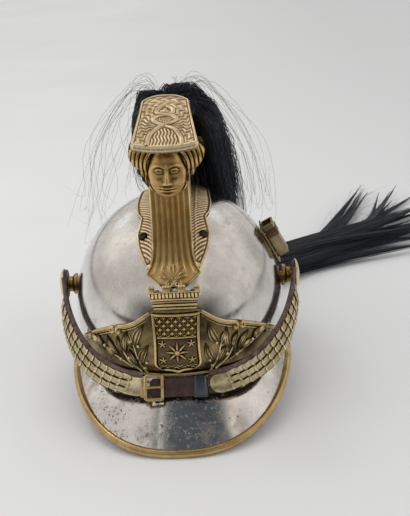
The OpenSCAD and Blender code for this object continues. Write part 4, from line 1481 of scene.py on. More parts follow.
        def height(s: Points, t: Points) -> Points:
            """The relief of the panel."""
            x, y = spot(s, t)
            q = np.abs(s * 2 - 1)
            edge = np.minimum((1 - q) * 24, (1 - t) * self.cap_len)
            rim = 0.9 * bump(edge - 0.9, 1.1)
            a, b = line_distance(x, y, strand), line_distance(x, y, other)
            over = 0.35 * np.sin(y * 0.52 + 1.2)
            loops = np.maximum((1.25 + over) * bump(a, 2.0), (1.25 - over) * bump(b, 2.0))
            loops = np.maximum(loops, 0.9 * bump(np.hypot(x, y - 41.5), 2.3))
            near = np.minimum(a, b)
            inner = (np.abs(x) < np.interp(y, [0, 10, 18, 24], [12.5, 10.5, 6, 0])) & (y < 23)
            ang = np.arctan2(x, y - 22)
            r = np.hypot(x, (y - 22))
            rays = 0.5 + 0.5 * np.sin(ang * 27 + 1.5 * np.sin(r * 0.95))
            waves = 0.5 + 0.5 * np.sin(x * 2.35 + 1.2 * np.sin(y * 0.75))
            eye = bump(np.hypot(x / 1.7, y - 30.4), 2.2) > 0
            ground = np.where(inner, waves, rays) * 0.75
            ground = np.where(eye, 0.5 * np.sin(x * 4) * np.sin(y * 4), ground)
            return np.maximum(loops, ground * ramp(near, 2.0, 3.0) * ramp(edge, 2.0, 3.2)) + rim

        obj = embossed("crest_panel", 170, 190, base, height, wall=self.cap_t - 0.8, inside=(0, -95, 200),
                       blur=3)
        lip = self.lip()
        self.done(join("crest_panel_relief", [obj, lip]), "panel_brass", Body.HELMET, "crest_brass",
                  "crest_cap")

    def lip(self) -> bpy.types.Object:
        """Rolls the panel's front lip with its row of leaves.

        Returns:
            The lip.
        """
        x = np.linspace(-self.cap_front - 0.2, self.cap_front + 0.2, 141)
        bow = 1 - (x / self.cap_front) ** 2

        def place(s: Points, t: Points) -> Points:
            """Puts a grid point on the lip."""
            i = np.rint(t * 140).astype(int)
            w = 2 * np.pi * s
            row = bump(((x[i] / 3.6) % 1) - 0.5, 0.48)
            r = 3.2 + 0.45 * row * (np.sin(w) < 0.3)
            r = r * np.interp(np.abs(x[i]), [0, 24, 26.2], [1, 1, 0.55])
            return np.stack([x[i], self.cap_y + 1.3 - 2.4 * bow[i] - r * np.cos(w) * 0.92,
                             self.cap_z - 2.2 - 3.4 * bow[i] + 0.9 * bow[i] + r * np.sin(w)], 1)

        obj = sheet("panel_lip", 24, 140, place, closed=True)
        side, _, high = coords(obj).T
        # painted light: the upper part of the roll is mapped bright as painted light from above, and its
        # underside dark as painted shade
        raised = high + 2.5 * (1 - (side / self.cap_front) ** 2) > self.cap_z - 3.2
        relief_map(obj, np.where(raised, 0.6, -0.25))
        return obj

    def wall_line(self, y: Points) -> tuple[Points, Points, Points, Points]:
        """Top height, top width, base width and base height of a wall along the crest."""
        slope = math.radians(self.cap_slope)
        under = self.cap_z + (y - self.cap_y) * math.tan(slope) - self.cap_t / math.cos(slope) - 1.2
        top = np.where(y <= -57, under, np.interp(y, [-57, -20, 20, 60, 92], [262, 256, 242, 212, 168]))
        wt = np.interp(y, [-80, -57, 0, 50, 92], [14.6, 17.5, 16, 12, 7])
        wb = np.interp(y, [-80, -40, 20, 60, 92], [15, 15, 14, 11, 7])
        return top, wt, wb, BOWL.top(wb - 1.3, y, BOWL.seat)

    def walls(self) -> None:
        """Stamps both side walls with slanting feathers between plain borders."""
        for s_x, node in ((1, "crest_left_side"), (-1, "crest_right_side")):
            ys = np.concatenate([np.linspace(-80, -57.2, 40), np.linspace(-56, 92, 201)])

            def spot(s: Points) -> tuple[Points, ...]:
                """Place along the crest and its lines."""
                y = ys[np.rint(s * 240).astype(int)]
                return y, *self.wall_line(y)

            def base(s: Points, t: Points, h: Points) -> Points:
                """Puts a grid point on the wall."""
                y, top, wt, wb, zb = spot(s)
                x = wb + (wt - wb) * t - 1.7 * np.sin(np.pi * t) * 0.9 + 0.2
                return np.stack([s_x * (x + h), y, zb + (top - zb) * t], 1)

            def height(s: Points, t: Points) -> Points:
                """Feathers in slanting rows, a beaded top border and a plain foot."""
                y, top, _, _, zb = spot(s)
                z = zb + (top - zb) * t
                up, low = top - z, z - zb
                rows = 0.5 + 0.5 * np.sin((z - 0.9 * y) * 0.62)
                barb = 0.5 + 0.5 * np.sin((z + 1.6 * y) * 1.5)
                mid = ramp(up, 4, 6) * ramp(low, 4, 6)
                borders = 0.8 * bump(up - 1.8, 1.6) + 0.6 * bump(low - 2.2, 1.6)
                return mid * (0.75 * rows ** 1.5 + 0.28 * barb) + borders

            obj = embossed(f"wall_{node}", 204, 76, base, height, wall=1.1, inside=(0, 0, 200), blur=3)
            self.done(obj, "crest_brass", Body.HELMET, "crest_brass", node)

    def flanges(self) -> None:
        """Stamps the flanges on the bowl with feathers that run out from the crest."""
        for s_x, node in ((1, "crest_left_flange"), (-1, "crest_right_flange")):

            def spot(s: Points, t: Points) -> tuple[Points, Points, Points]:
                """Side, place along and outer width."""
                y = -88.5 + 176.5 * s
                a = np.interp(y, [-88.5, -80, -40, 20, 60, 92], [19.5, 15.2, 15, 14, 11, 7])
                b = np.interp(y, [-88.5, -86, -78, -70, -60, -51, -43, -35, -20, 0, 20, 45, 70, 88],
                              [21.8, 23.6, 27.8, 30.4, 31.6, 29.6, 28.2, 31.6, 33.2, 32, 31, 27, 22, 13])
                return a + (b - a) * t, y, b

            def base(s: Points, t: Points, h: Points) -> Points:
                """Puts a grid point on the flange."""
                x, y, _ = spot(s, t)
                z = BOWL.top(x, y, BOWL.seat + 1.2)
                n = BOWL.normal(x, y, z)
                p = np.stack([x, y, z], 1) + h[:, None] * n
                return p * np.array([s_x, 1, 1])

            def height(s: Points, t: Points) -> Points:
                """Barbs that slant outwards, with a raised rim."""
                x, y, b = spot(s, t)
                edge = np.minimum(b - x, (1 - np.abs(s * 2 - 1)) * 60)
                barbs = 0.5 + 0.5 * np.sin((y * 1.0 - 0.85 * x) * 1.95 + 0.8 * np.sin(x * 0.5))
                quill = bump(x - (17.5 + (b - 17.5) * 0.12), 1.2)
                return 0.75 * barbs * ramp(edge, 2.4, 3.4) + 0.8 * bump(edge - 1.0, 1.0) + 0.4 * quill

            obj = embossed(f"flange_{node}", 280, 34, base, height, wall=1.1, inside=(0, 0, 80), blur=3)
            self.done(obj, "panel_brass", Body.HELMET, "crest_brass", node)

    def screws(self) -> None:
        """Turns the four blackened screw heads with their slots."""
        heads = []
        for k, (x, y) in enumerate(((25, -62), (-25, -62), (18, 64), (-18, 64))):
            z = float(BOWL.top(np.array(float(x)), np.array(float(y)), 0))
            n = BOWL.normal(x, y, z)
            a = unit(np.cross(n, [0, 1, 0.3 * (k + 1)]))
            b = np.cross(n, a)
            m = basis(np.array([x, y, z]) + n * self.screw_seat, a, b, n)
            dome = [(0, -0.6), (3.9, -0.6), (3.9, 0), (3.8, 0.7), (3.3, 1.2), (2.2, 1.6), (0, 1.7)]
            head = turned(f"head_{k}", dome, m)
            slot = block(f"slot_{k}", (9, 0.9, 1.6), 0, m @ Matrix.Translation((0, 0, 1.6)))
            cut(head, slot)
            heads += [head, turned(f"shank_{k}", [(0, -9), (2, -9), (2, 0), (0, 0)], m)]
        self.done(join("crest_screw_heads", heads), "black_iron", Body.HELMET, "dark_steel", "crest_screws")

    def build(self) -> None:
        """Builds the crest."""
        self.fluted_front()
        self.palmette()
        self.mask()
        self.panel()
        self.walls()
        self.flanges()
        self.screws()
        self.keep("crest_nuts", "plain_iron")
        self.keep("mane_holder", "wood")


# The mane


RIDGE = ((-57, 262), (-20, 256), (20, 242), (60, 212), (92, 168))


def glide(ctrl: Points, per: int) -> Points:
    """Draws smooth curves through control points.

    Args:
        ctrl: Control points, n by m by 3.
        per: Steps between two of them.

    Returns:
        Curves, n by (m - 1) * per + 1 by 3.
    """
    p = np.concatenate([2 * ctrl[:, :1] - ctrl[:, 1:2], ctrl, 2 * ctrl[:, -1:] - ctrl[:, -2:-1]], 1)
    t = np.linspace(0, 1, per, endpoint=False)[None, None, :, None]
    a, b, c, d = (p[:, k:k + ctrl.shape[1] - 1, None] for k in range(4))
    q = 0.5 * (2 * b + (c - a) * t + (2 * a - 5 * b + 4 * c - d) * t ** 2 + (3 * b - a - 3 * c + d) * t ** 3)
    return np.concatenate([q.reshape(len(ctrl), -1, 3), ctrl[:, -1:]], 1)


@dataclass(frozen=True)
class Lock:
    """A bundle of hair: its path with half width and half height at each point."""

    name: str
    path: tuple
    strands: int
    steps: int = 13
    radius: float = 0.32
    loose: float = 1.0
    fan: float = 9
    wisps: int = 34
    share: float = 1.0


@dataclass
class Mane(Assembly):
    """The horsehair mane: a dark core under thousands of thin strands."""

    seed: int = 7

    def strands(self, name: str, curves: Points, radius: Points,
                rng: np.random.Generator) -> bpy.types.Object:
        """Makes three-sided hairs along curves.

        Args:
            name: The piece's name.
            curves: Points of each hair, n by m by 3.
            radius: The radius at each step.
            rng: The source of chance.

        Returns:
            The new object.
        """
        n, m, _ = curves.shape
        fwd = np.gradient(curves, axis=1)
        fwd /= np.linalg.norm(fwd, axis=2, keepdims=True) + 1e-9
        ref = np.where(np.abs(fwd[..., 2:3]) < 0.9, np.array([0, 0, 1.0]), np.array([0, 1.0, 0]))
        side = np.cross(fwd, ref)
        side /= np.linalg.norm(side, axis=2, keepdims=True) + 1e-9
        top = np.cross(side, fwd)
        verts = np.empty((n, m, 3, 3))
        for k in range(3):
            w = 2 * np.pi * k / 3
            verts[:, :, k] = curves + radius[None, :, None] * (math.cos(w) * side + math.sin(w) * top)
        i = (np.arange(n) * m * 3)[:, None, None]
        j = (np.arange(m - 1) * 3)[None, :, None]
        k = np.arange(3)[None, None, :]
        a, b = i + j + k, i + j + (k + 1) % 3
        quads = np.stack([a, b, b + 3, a + 3], -1).reshape(-1, 4)
        mesh = bpy.data.meshes.new(name)
        mesh.vertices.add(n * m * 3)
        mesh.vertices.foreach_set("co", (verts * MM).ravel())
        mesh.loops.add(quads.size)
        mesh.loops.foreach_set("vertex_index", quads.ravel())
        mesh.polygons.add(len(quads))
        mesh.polygons.foreach_set("loop_start", np.arange(0, quads.size, 4))
        mesh.update(calc_edges=True)
        mesh.polygons.foreach_set("use_smooth", np.ones(len(quads), dtype=bool))
        layer = mesh.attributes.new("tint", "FLOAT", "POINT")
        layer.data.foreach_set("value", np.repeat(rng.random(n) ** 1.6, m * 3).astype(np.float32))
        obj = bpy.data.objects.new(name, mesh)
        bpy.context.collection.objects.link(obj)
        return obj

    def flow(self, paths: Sequence[Sequence[float]],
             count: int) -> tuple[Points, Points, Points, Points, Points]:
        """Spreads a lock's path and its section axes.

        Args:
            paths: Rows of x, y, z, half width and half height.
            count: How many points come back.

        Returns:
            Centres, half widths, half heights, side and upright directions.
        """
        q = spread(paths, count)
        fwd = unit(np.gradient(q[:, :3], axis=0))
        side = unit(np.cross(fwd, [0, 0, 1.0]))
        return q[:, :3], q[:, 3].clip(0.4, None), q[:, 4].clip(0.4, None), side, np.cross(side, fwd)

    def section(self, path: Sequence, f: Points, r: Points, a: Points) -> Points:
        """Finds places inside a lock.

        Args:
            path: The lock's path.
            f: Place along it, 0 to 1, n by m.
            r: Share of the way out from its middle.
            a: Angle round the section.

        Returns:
            Points, n by m by 3.
        """
        fine = 60
        c, w, h, side, top = self.flow(path, fine)
        x = f * (fine - 1)
        i = np.minimum(x.astype(int), fine - 2)
        g = x - i

        def at(v: Points) -> Points:
            """Reads a value along the path."""
            gg = g[..., None] if v.ndim == 2 else g
            return v[i] * (1 - gg) + v[i + 1] * gg

        across, upwards = (r * at(w) * np.cos(a))[..., None], (r * at(h) * np.sin(a))[..., None]
        return at(c) + across * at(side) + upwards * at(top)

    def bundle(self, lock: Lock, rng: np.random.Generator) -> Points:
        """Lays a lock's hairs inside its path, drawn together into wisps towards the end.

        Args:
            lock: The lock.
            rng: The source of chance.

        Returns:
            Curves, n by m by 3.
        """
        n, m = lock.strands, lock.steps + 1
        wisps = lock.wisps
        wisp = rng.integers(0, wisps, n)
        stop = rng.uniform(0.86, 1.0, wisps)[wisp]
        start = rng.uniform(0, 0.3, n) ** 1.3
        end = np.maximum(stop - rng.uniform(0, 1, n) ** 2 * 0.4, start + 0.2).clip(None, 1)
        f = start[:, None] + (end - start)[:, None] * np.linspace(0, 1, m)[None]
        home = rng.uniform(0, 2 * np.pi, wisps)[wisp][:, None]
        out = np.sqrt(rng.uniform(0.12, 1.1, wisps))[wisp][:, None]
        tight = 1.15 - 0.95 * (f / stop[:, None]).clip(0, 1) ** 1.4
        u = out * np.cos(home) + rng.normal(0, 0.34, (n, 1)) * tight
        v = out * np.sin(home) + rng.normal(0, 0.34, (n, 1)) * tight
        pts = self.section(lock.path, f, np.hypot(u, v).clip(None, 1.05) * (1 - (1 - lock.share) * f),
                           np.arctan2(v, u))
        wave = rng.uniform(0, 2 * np.pi, wisps)[wisp][:, None]
        apart = (f - 0.22).clip(0, None) ** 1.4 * lock.loose
        aside = rng.normal(0, 6, wisps)[wisp][:, None] * apart
        pts[..., 0] += aside + 0.5 * lock.loose * np.sin(f * 9 + wave)
        back = (rng.normal(0.35, 0.75, wisps) * lock.fan)[wisp][:, None] * apart
        pts[..., 1] += back + 0.4 * np.sin(f * 23 + rng.uniform(0, 6, (n, 1)))
        pts[..., 2] += np.abs(rng.normal(0, 4, wisps))[wisp][:, None] * apart
        pts[..., :2] = np.minimum(pts[..., :2], (349, 582))
        pts[..., 2] = np.maximum(pts[..., 2], 0.8 + 1.2 * rng.random((n, 1)))
        return pts

    def over(self, fall: Sequence, side: float, count: int, span: tuple[float, float], wide: float,
             rng: np.random.Generator) -> Points:
        """Roots hairs on the ridge, lets them rise and arch, and lays them into a fall.

        Args:
            fall: The fall's path.
            side: -1 for the right of the wearer, 1 for the left, less for the back.
            count: How many hairs.
            span: Where on the ridge they are rooted.
            wide: How far they spread in the fall.
            rng: The source of chance.

        Returns:
            Curves, n by m by 3.
        """
        y0 = rng.uniform(*span, count)
        root = np.stack([(rng.normal(3 * side, 3.4, count)).clip(-9, 9), y0, np.interp(y0, *zip(*RIDGE))], 1)
        least, most = (14, 25) if side > -0.5 else (12, 20)
        tall = np.clip((y0 + 62) / 22, 0, 1) * rng.uniform(least, most, count)
        path = spread(fall, 60)
        first = np.interp(y0 + rng.uniform(8, 26, count), path[:, 1], np.linspace(0, 1, 60))
        last = np.clip(first + rng.uniform(0.35, 1.0, count), None, rng.uniform(0.9, 1, count))
        f = first[:, None] + (last - first)[:, None] * np.linspace(0, 1, 6)[None]
        a = rng.uniform(0, 2 * np.pi, (count, 1)) + 0.25 * rng.normal(0, 1, (count, 1)) * f
        lie = self.section(fall, f, np.sqrt(rng.uniform(0.35, 1.1, (count, 1))) * (1 + (wide - 1) * f), a)
        rise = np.stack([root[:, 0] + 2 * side, y0 + 1, root[:, 2] + 0.55 * tall], 1)
        arch = np.stack([root[:, 0] + side * rng.uniform(4, 17, count), y0 + rng.uniform(1, 8, count),
                         root[:, 2] + tall], 1)
        return glide(np.concatenate([root[:, None], rise[:, None], arch[:, None], lie], 1), 2)

    def strays(self, count: int, rng: np.random.Generator) -> Points:
        """Lets single long hairs stand off the mane.

        Args:
            count: How many hairs.
            rng: The source of chance.

        Returns:
            Curves, n by m by 3.
        """
        y0, side = rng.uniform(-50, 60, count), np.where(rng.random(count) < 0.45, -1, 1)
        z0 = np.interp(y0, *zip(*RIDGE))
        jump = rng.uniform(-0.25, 1, count)
        up = np.minimum(z0 + rng.uniform(14, 40, count), rng.uniform(278, 291, count))
        ctrl = np.stack([np.stack([side * 4, y0, z0], 1),
                         np.stack([side * rng.uniform(6, 16, count), y0, (z0 + up) / 2 + 5], 1),
                         np.stack([side * (12 + 22 * jump), y0 + rng.uniform(-8, 10, count), up], 1),
                         np.stack([side * (22 + 52 * jump), y0 + rng.uniform(-20, 30, count),
                                   up - 24 - 30 * jump], 1),
                         np.stack([side * (26 + 62 * jump), y0 + rng.uniform(-30, 50, count),
                                   up - 60 - 50 * jump], 1),
                         np.stack([side * (22 + 66 * jump) + rng.uniform(-14, 10, count),
                                   y0 + rng.uniform(-30, 60, count),
                                   up - 80 - 90 * jump * rng.random(count)], 1)], 1)
        ctrl[:, 2:] += rng.normal(0, 4, (count, 4, 3)) * np.array([1, 1, 0.3])
        ctrl[..., 2] = ctrl[..., 2].clip(None, 291)
        return glide(ctrl, 4)

    def loose_ends(self, paths: Sequence, count: int, rng: np.random.Generator) -> Points:
        """Lets single hairs wander off the tail over the table.

        Args:
            paths: The tail's locks.
            count: How many hairs on each lock.
            rng: The source of chance.

        Returns:
            Curves, n by m by 3.
        """
        found = []
        for path in paths:
            start = rng.uniform(0.02, 0.75, (count, 1))
            f = np.clip(start + rng.uniform(0.12, 0.4, (count, 1)) * np.linspace(0, 1, 6)[None], None, 0.97)
            q = self.section(path, f, np.full_like(f, 0.9), rng.uniform(0, 2 * np.pi, (count, 1)) + 0 * f)
            t = np.linspace(0, 1, 6)[None]
            q[..., 0] += rng.normal(0, 15, (count, 1)) * t ** 1.6 + rng.normal(0, 2.5, (count, 6)) * t
            q[..., 1] += rng.normal(0, 13, (count, 1)) * t ** 1.6
            q[..., 2] += np.abs(rng.normal(0, 14, (count, 1))) * t * (1.25 - t)
            q[..., 0], q[..., 1] = np.minimum(q[..., 0], 348), np.minimum(q[..., 1], 582)
            q[..., 2] = np.maximum(q[..., 2], 0.6)
            found.append(glide(q, 3))
        return np.concatenate(found)

    def core(self, name: str, paths: Sequence, share: float, node: str) -> None:
        """Fills the inside of the locks with a dark mass.

        Args:
            name: The piece's name.
            paths: The locks' paths.
            share: Its size as a share of the locks.
            node: The node that it replaces.
        """
        parts = []
        for k, path in enumerate(paths):
            c, w, h, side, top = self.flow(path, 40)

            def place(s: Points, t: Points) -> Points:
                """Puts a grid point on the mass."""
                i = np.rint(t * 39).astype(int)
                a = 2 * np.pi * s
                rough = share * (1 + 0.05 * np.sin(a * 9 + i * 0.1) + 0.03 * np.sin(a * 17))
                cap = np.interp(t, [0, 0.03, 0.7, 1], [0.55, 1, 1, 0.3])
                return (c[i] + (rough * cap * w[i] * np.cos(a))[:, None] * side[i]
                        + (rough * cap * h[i] * np.sin(a))[:, None] * top[i])

            parts.append(sheet(f"{name}_{k}", 40, 39, place, closed=True))
        self.done(join(name, parts), "hair_core", Body.HELMET, "mane_hair", node)

    def lay(self, name: str, curves: Points, thick: float, taper: Sequence[Sequence[float]],
            rng: np.random.Generator) -> None:
        """Makes hairs along curves and dresses them.

        Args:
            name: The piece's name.
            curves: Points of each hair, n by m by 3.
            thick: The hairs' radius where they are thickest.
            taper: Places along a hair, and the share of the radius at each.
            rng: The source of chance.
        """
        radius = thick * np.interp(np.linspace(0, 1, curves.shape[1]), *taper)
        self.done(self.strands(name, curves, radius, rng), "hair", Body.HELMET, "mane_hair")

    def build(self) -> None:
        """Builds the mane and its tail."""
        rng = np.random.default_rng(self.seed)
        crown = ((14, -50, 262, 10, 7), (15, -40, 266, 13, 11), (16, -20, 264, 14, 13), (17, 5, 255, 15, 13),
                 (17, 30, 241, 16, 13), (15, 55, 222, 19, 12), (14, 86, 204, 22, 12))
        inner = ((-14, -50, 263, 7, 7), (-16, -36, 265, 8, 10), (-17, 0, 249, 8, 9), (-15, 40, 224, 9, 9),
                 (-8, 80, 196, 12, 10))
        left = ((-25, -32, 256, 4.5, 8), (-28, 0, 237, 5, 10), (-29, 30, 210, 6, 10.5),
                (-27, 60, 187, 7, 10.5), (-19, 88, 166, 8, 10.5), (-3, 114, 148, 9, 11))
        right = ((30, -34, 264, 7, 9), (35, -8, 249, 7, 12), (39, 18, 227, 8, 13), (43, 44, 200, 8, 14),
                 (46, 70, 170, 8.5, 13), (46, 96, 138, 9, 12), (43, 122, 100, 10, 12), (38, 152, 78, 9, 11))
        back = ((8, 52, 238, 22, 12), (12, 86, 206, 27, 14), (16, 114, 172, 29, 14), (20, 137, 128, 30, 14),
                (26, 158, 86, 31, 13.5), (37, 181, 52, 32, 13), (58, 208, 28, 33, 12),
                (88.4, 240.4, 15.9, 33, 12))
        tail = ((70, 221, 23, 33, 12), (90.2, 242.1, 15.5, 33, 12), (126, 272, 13, 32, 11.6),
                (168, 304, 11.6, 29, 10.4), (214, 335, 10.2, 25, 9), (262, 366, 8.6, 19, 7.4),
                (306, 396, 6.6, 12, 5.4), (340, 420, 4, 5, 3))
        lock_a = ((130, 262, 13, 16, 9), (150, 292, 13, 16, 9), (178, 352, 12, 13, 8), (204, 420, 10, 10, 7),
                  (232, 500, 7, 6, 5), (256, 570, 4, 2, 2))
        lock_b = ((180, 300, 11, 14, 8), (196, 322, 11, 14, 8), (232, 376, 10, 11, 7), (262, 436, 8, 8, 6),
                  (292, 500, 5, 3, 3))
        self.core("mane_core", (crown, inner, left, right, back), 0.8, "mane")
        self.core("tail_core", (tail[:6], lock_a[:4], lock_b[:4]), 0.36, "mane_tail")
        falls = (("mane_right_hairs", right, 1.0, 1900, (-53, 66), 1.05, 0.35),
                 ("mane_left_hairs", left, -1.0, 1200, (-53, 40), 1.1, 0.33),
                 ("mane_back_hairs", back, 0.4, 1150, (10, 72), 1.0, 0.35),
                 ("mane_ridge_hairs", right, 0.6, 850, (-54, 10), 1.0, 0.36),
                 ("mane_right_fringe", right, 1.0, 260, (-50, 50), 2.6, 0.17),
                 ("mane_left_fringe", left, -1.0, 70, (-50, 20), 2.4, 0.15))
        along = (0, 0.15, 0.7, 1)
        for name, path, side, count, span, wide, thick in falls:
            curves = self.over(path, side, count, span, wide, rng)
            self.lay(name, curves, thick, (along, (0.7, 1, 0.9, 0.25)), rng)
        # the fall and the tail share a stretch, so that no seam shows between them
        long_back = back + tail[2:5]
        long_tail = back[4:7] + tail[1:]
        locks = [Lock("mane_back_fall", long_back, 1700, 15, 0.36, 0.25),
                 Lock("tail_run", long_tail, 2050, 15, 0.34, 1.6, 62, 22, 0.8),
                 Lock("tail_lock_far", lock_a, 900, 14, 0.26, 1.6, 20, 7, 0.45),
                 Lock("tail_lock_near", lock_b, 900, 14, 0.26, 2.2, 34, 8, 0.5)]
        for lock in locks:
            self.lay(lock.name, self.bundle(lock, rng), lock.radius, (along, (0.7, 1, 0.9, 0.2)), rng)
        thin, single = 0.11, ((0, 0.8, 1), (1, 0.9, 0.4))
        self.lay("mane_stray_hairs", self.strays(70, rng), thin, single, rng)
        self.lay("tail_stray_hairs", self.loose_ends((tail, lock_a, lock_b), 110, rng), thin, single, rng)


# Socket, straps, buckle and liner


@dataclass
class Socket(Assembly):
    """The plume socket on the wearer's left."""

    length: float = 33
    thick: float = 11
    width: float = 16
    wall: float = 1.2
    z: float = 128

    def frame(self) -> Matrix:
        """The socket's place: x down the bowl, y back, z outwards."""
        slope = BOWL.half_w * (self.z - BOWL.widest_z) / BOWL.dome_h ** 2 / math.sqrt(
            1 - ((self.z - BOWL.widest_z) / BOWL.dome_h) ** 2)
        lean = math.atan(slope)
        origin = np.array([float(BOWL.radius(np.array(self.z))), 5, self.z])
        w = math.pi / 2 - lean
        x_ax = np.array([math.cos(w), 0, -math.sin(w)])
        z_ax = np.array([math.sin(w), 0, math.cos(w)])
        return basis(origin + z_ax * 0.3, x_ax, (0, 1, 0), z_ax)

    def build(self) -> None:
        """Folds the socket from sheet, on its riveted base."""
        m = self.frame()
        tube_in = block("socket_tube", (self.length, self.width, self.thick), 1.4,
                        m @ Matrix.Translation((0, 0, 1.2 + self.thick / 2)))
        hollow = block("socket_space", (self.length, self.width - 2 * self.wall, self.thick - 2 * self.wall),
                       0.9, m @ Matrix.Translation((-1.4, 0, 1.2 + self.thick / 2)))
        cut(tube_in, hollow)
        x0 = -self.length / 2
        hw, lo, hi = self.width / 2, 1.2, 1.2 + self.thick
        ring = np.array([(x0 + 0.4, y, z) for y, z in (
            (-hw + 0.2, lo + 0.8), (-hw + 0.2, hi - 1), (-hw + 1.2, hi - 0.1),
            (hw - 1.2, hi - 0.1), (hw - 0.2, hi - 1), (hw - 0.2, lo + 0.8))])
        lip = tube("socket_lip", ring, 0.7, 8, up=(1, 0, 0))
        seat(lip, m)
        smooth(tube_in, 35)
        over = m @ Matrix.Translation((x0 + 9, 0, hi + 0.1))
        collar = [block("collar_top", (8, self.width + 0.9, 0.6), 0.2, over)]
        for s in (-1, 1):
            beside = m @ Matrix.Translation((x0 + 9, s * (hw + 0.15), (lo + hi) / 2))
            collar.append(block(f"collar_{s}", (8, 0.6, self.thick), 0.2, beside))
        self.done(join("plume_collar", collar), "collar_brown", Body.HELMET, "socket_metal")
        self.done(join("plume_tube", [tube_in, lip]), "socket_metal", Body.HELMET, "socket_metal",
                  "plume_socket")
        self.keep("plume_socket_plate", "socket_metal")
        self.keep("plume_socket_rivets", "brass")


@dataclass
class Chinstraps(Assembly):
    """Both chinstraps with their scales, end plates, studs, buckle and keeper."""

    scales: int = 13
    first: float = 80
    last: float = 21.5
    scale_t: float = 0.7
    lobes: int = 3
    trim_top: float = 1.2
    trim_low: float = 4.6
    end_a: float = 14.5
    stud_seat: float = 1.85

    def on_strap(self, a: float) -> Matrix:
        """A place on the strap: x towards the stud, y up, z outwards."""
        return basis(*(v[0] for v in STRAP.axes(a)))

    def leather(self, side: int, start: float, node: str, body: Body) -> None:
        """Cuts the leather with its rolled edges.

        Args:
            side: 1 for the wearer's left, -1 for the right.
            start: The angle where it starts.
            node: The node that it replaces.
            body: The body that it moves with.
        """
        half_t = STRAP.leather_t / 2

        def place(s: Points, t: Points) -> Points:
            """Puts a grid point on the strap's skin."""
            a = start + (90 - start) * t
            p, _, w, n = STRAP.axes(a)
            k = 2 * np.pi * s
            x = np.sign(np.cos(k)) * np.abs(np.cos(k)) ** 0.35
            y = np.sign(np.sin(k)) * np.abs(np.sin(k)) ** 0.7
            roll = 1 + 0.25 * bell(np.abs(x) - 1, 0.1)
            half, cut = STRAP.width(a) / 2, self.trim_low * ramp(92 - a, 0, 14)
            return p + (x * (half - cut / 2) + cut / 2)[:, None] * w + (y * half_t * roll)[:, None] * n

        obj = sheet(f"leather_{node}", 28, 150, place, closed=True)
        disc = turned(f"disc_{node}", [(3.1, -1.35), (12.6, -1.35), (13.5, -0.9), (13.5, 0.9), (12.6, 1.35),
                                       (3.1, 1.35), (3.1, -1.35)],
                      basis((STRAP.half_span, STRAP.boss_y, STRAP.boss_z), (0, 1, 0), (0, 0, 1), (1, 0, 0)),
                      48)
        obj = join(f"leather_{node}", [obj, disc])
        if side < 0:
            self.flip(obj)
        self.done(obj, "leather", body, "strap_leather", node)

    def cord(self, side: int, node: str, body: Body) -> None:
        """Twists the rolled leather edge that shows above the scales."""
        a = np.linspace(8 if side < 0 else 4, 88, 320)
        p, _, w, n = STRAP.axes(a)
        edge = p + w * (STRAP.width(a) / 2 - 0.7)[:, None] + n * 1.7
        strands = []
        for k in range(3):
            ph = np.arange(len(a)) * 0.36 + k * np.pi * 2 / 3
            q = edge + (np.cos(ph) * 1.25)[:, None] * w + (np.sin(ph) * 0.8)[:, None] * n
            strands.append(tube(f"twist_{side}_{k}", q, 1.25, 7, up=(0.05, 0.05, 1)))
        obj = join(f"strap_edge_{node}", strands)
        if side < 0:
            self.flip(obj)
        self.done(obj, "edge_leather", body, "strap_leather")

    def flip(self, obj: bpy.types.Object) -> None:
        """Mirrors an object to the wearer's right."""
        move_to(obj, coords(obj) * np.array([-1, 1, 1]))
        turn_faces(obj)

    def row(self, side: int, node: str, body: Body) -> None:
        """Lays the overlapping scales, each domed with a lobed free end.

        Args:
            side: 1 for the wearer's left, -1 for the right.
            node: The node that it replaces.
            body: The body that it moves with.
        """
        ends = [STRAP.point(np.array(a)) for a in (self.first, self.last)]
        step = float(np.linalg.norm(ends[0] - ends[1])) * 1.03 / (self.scales - 1)
        length = step * 1.75
        pitch = math.atan((self.scale_t + 0.35) / step)
        made = []
        for k in range(self.scales):
            a = self.first - (self.first - self.last) * k / (self.scales - 1)
            half = float(STRAP.width(np.array(a))) / 2
            low, high = self.trim_low - half, half - self.trim_top

            def place(s: Points, t: Points) -> Points:
                """Puts a grid point on a scale: three domed lobes with hollows between them."""
                q = s * 2 - 1
                lobe = np.abs(np.sin(np.pi * s * self.lobes))
                reach = length + 3.6 * lobe ** 0.55 - 3.6 - 0.9 * np.abs(q) ** 3
                swell = 0.9 * lobe ** 0.6 * ramp(t, 0.15, 0.75)
                drop = 1.1 * t ** 6
                out = 1.1 * (1 - q ** 2)
                return np.stack([-reach * t, low + (high - low) * s, 0.4 + out + swell - drop], 1)

            plate = sheet(f"scale_{k}", 36, 12, place, wall=self.scale_t, inside=(-5, 0, -60))
            co = coords(plate)
            lobe = np.abs(np.sin(np.pi * (co[:, 1] - low) / (high - low) * self.lobes))
            tip = length + 3.6 * lobe ** 0.55 - 3.6
            # painted light: the free edge is mapped bright as rubbed wear and painted highlight, and the
            # notches between the lobes dark as painted shadow
            relief_map(plate, np.clip(1.0 - (tip + co[:, 0]) / 1.2, -0.1, 1.0) - 0.5 * (lobe < 0.3))
            local = Matrix.Translation((step * 0.5, 0, STRAP.leather_t / 2 + 0.25))
            local = local @ Matrix.Rotation(pitch, 4, "Y")
            seat(plate, self.on_strap(a) @ local)
            if side < 0:
                self.flip(plate)
            made.append(plate)
        self.done(join(f"scales_{node}", made), "scale_brass", body, "brass", node)

    def end_plate(self, side: int, node: str, body: Body) -> None:
        """Shapes the long rounded end plate."""

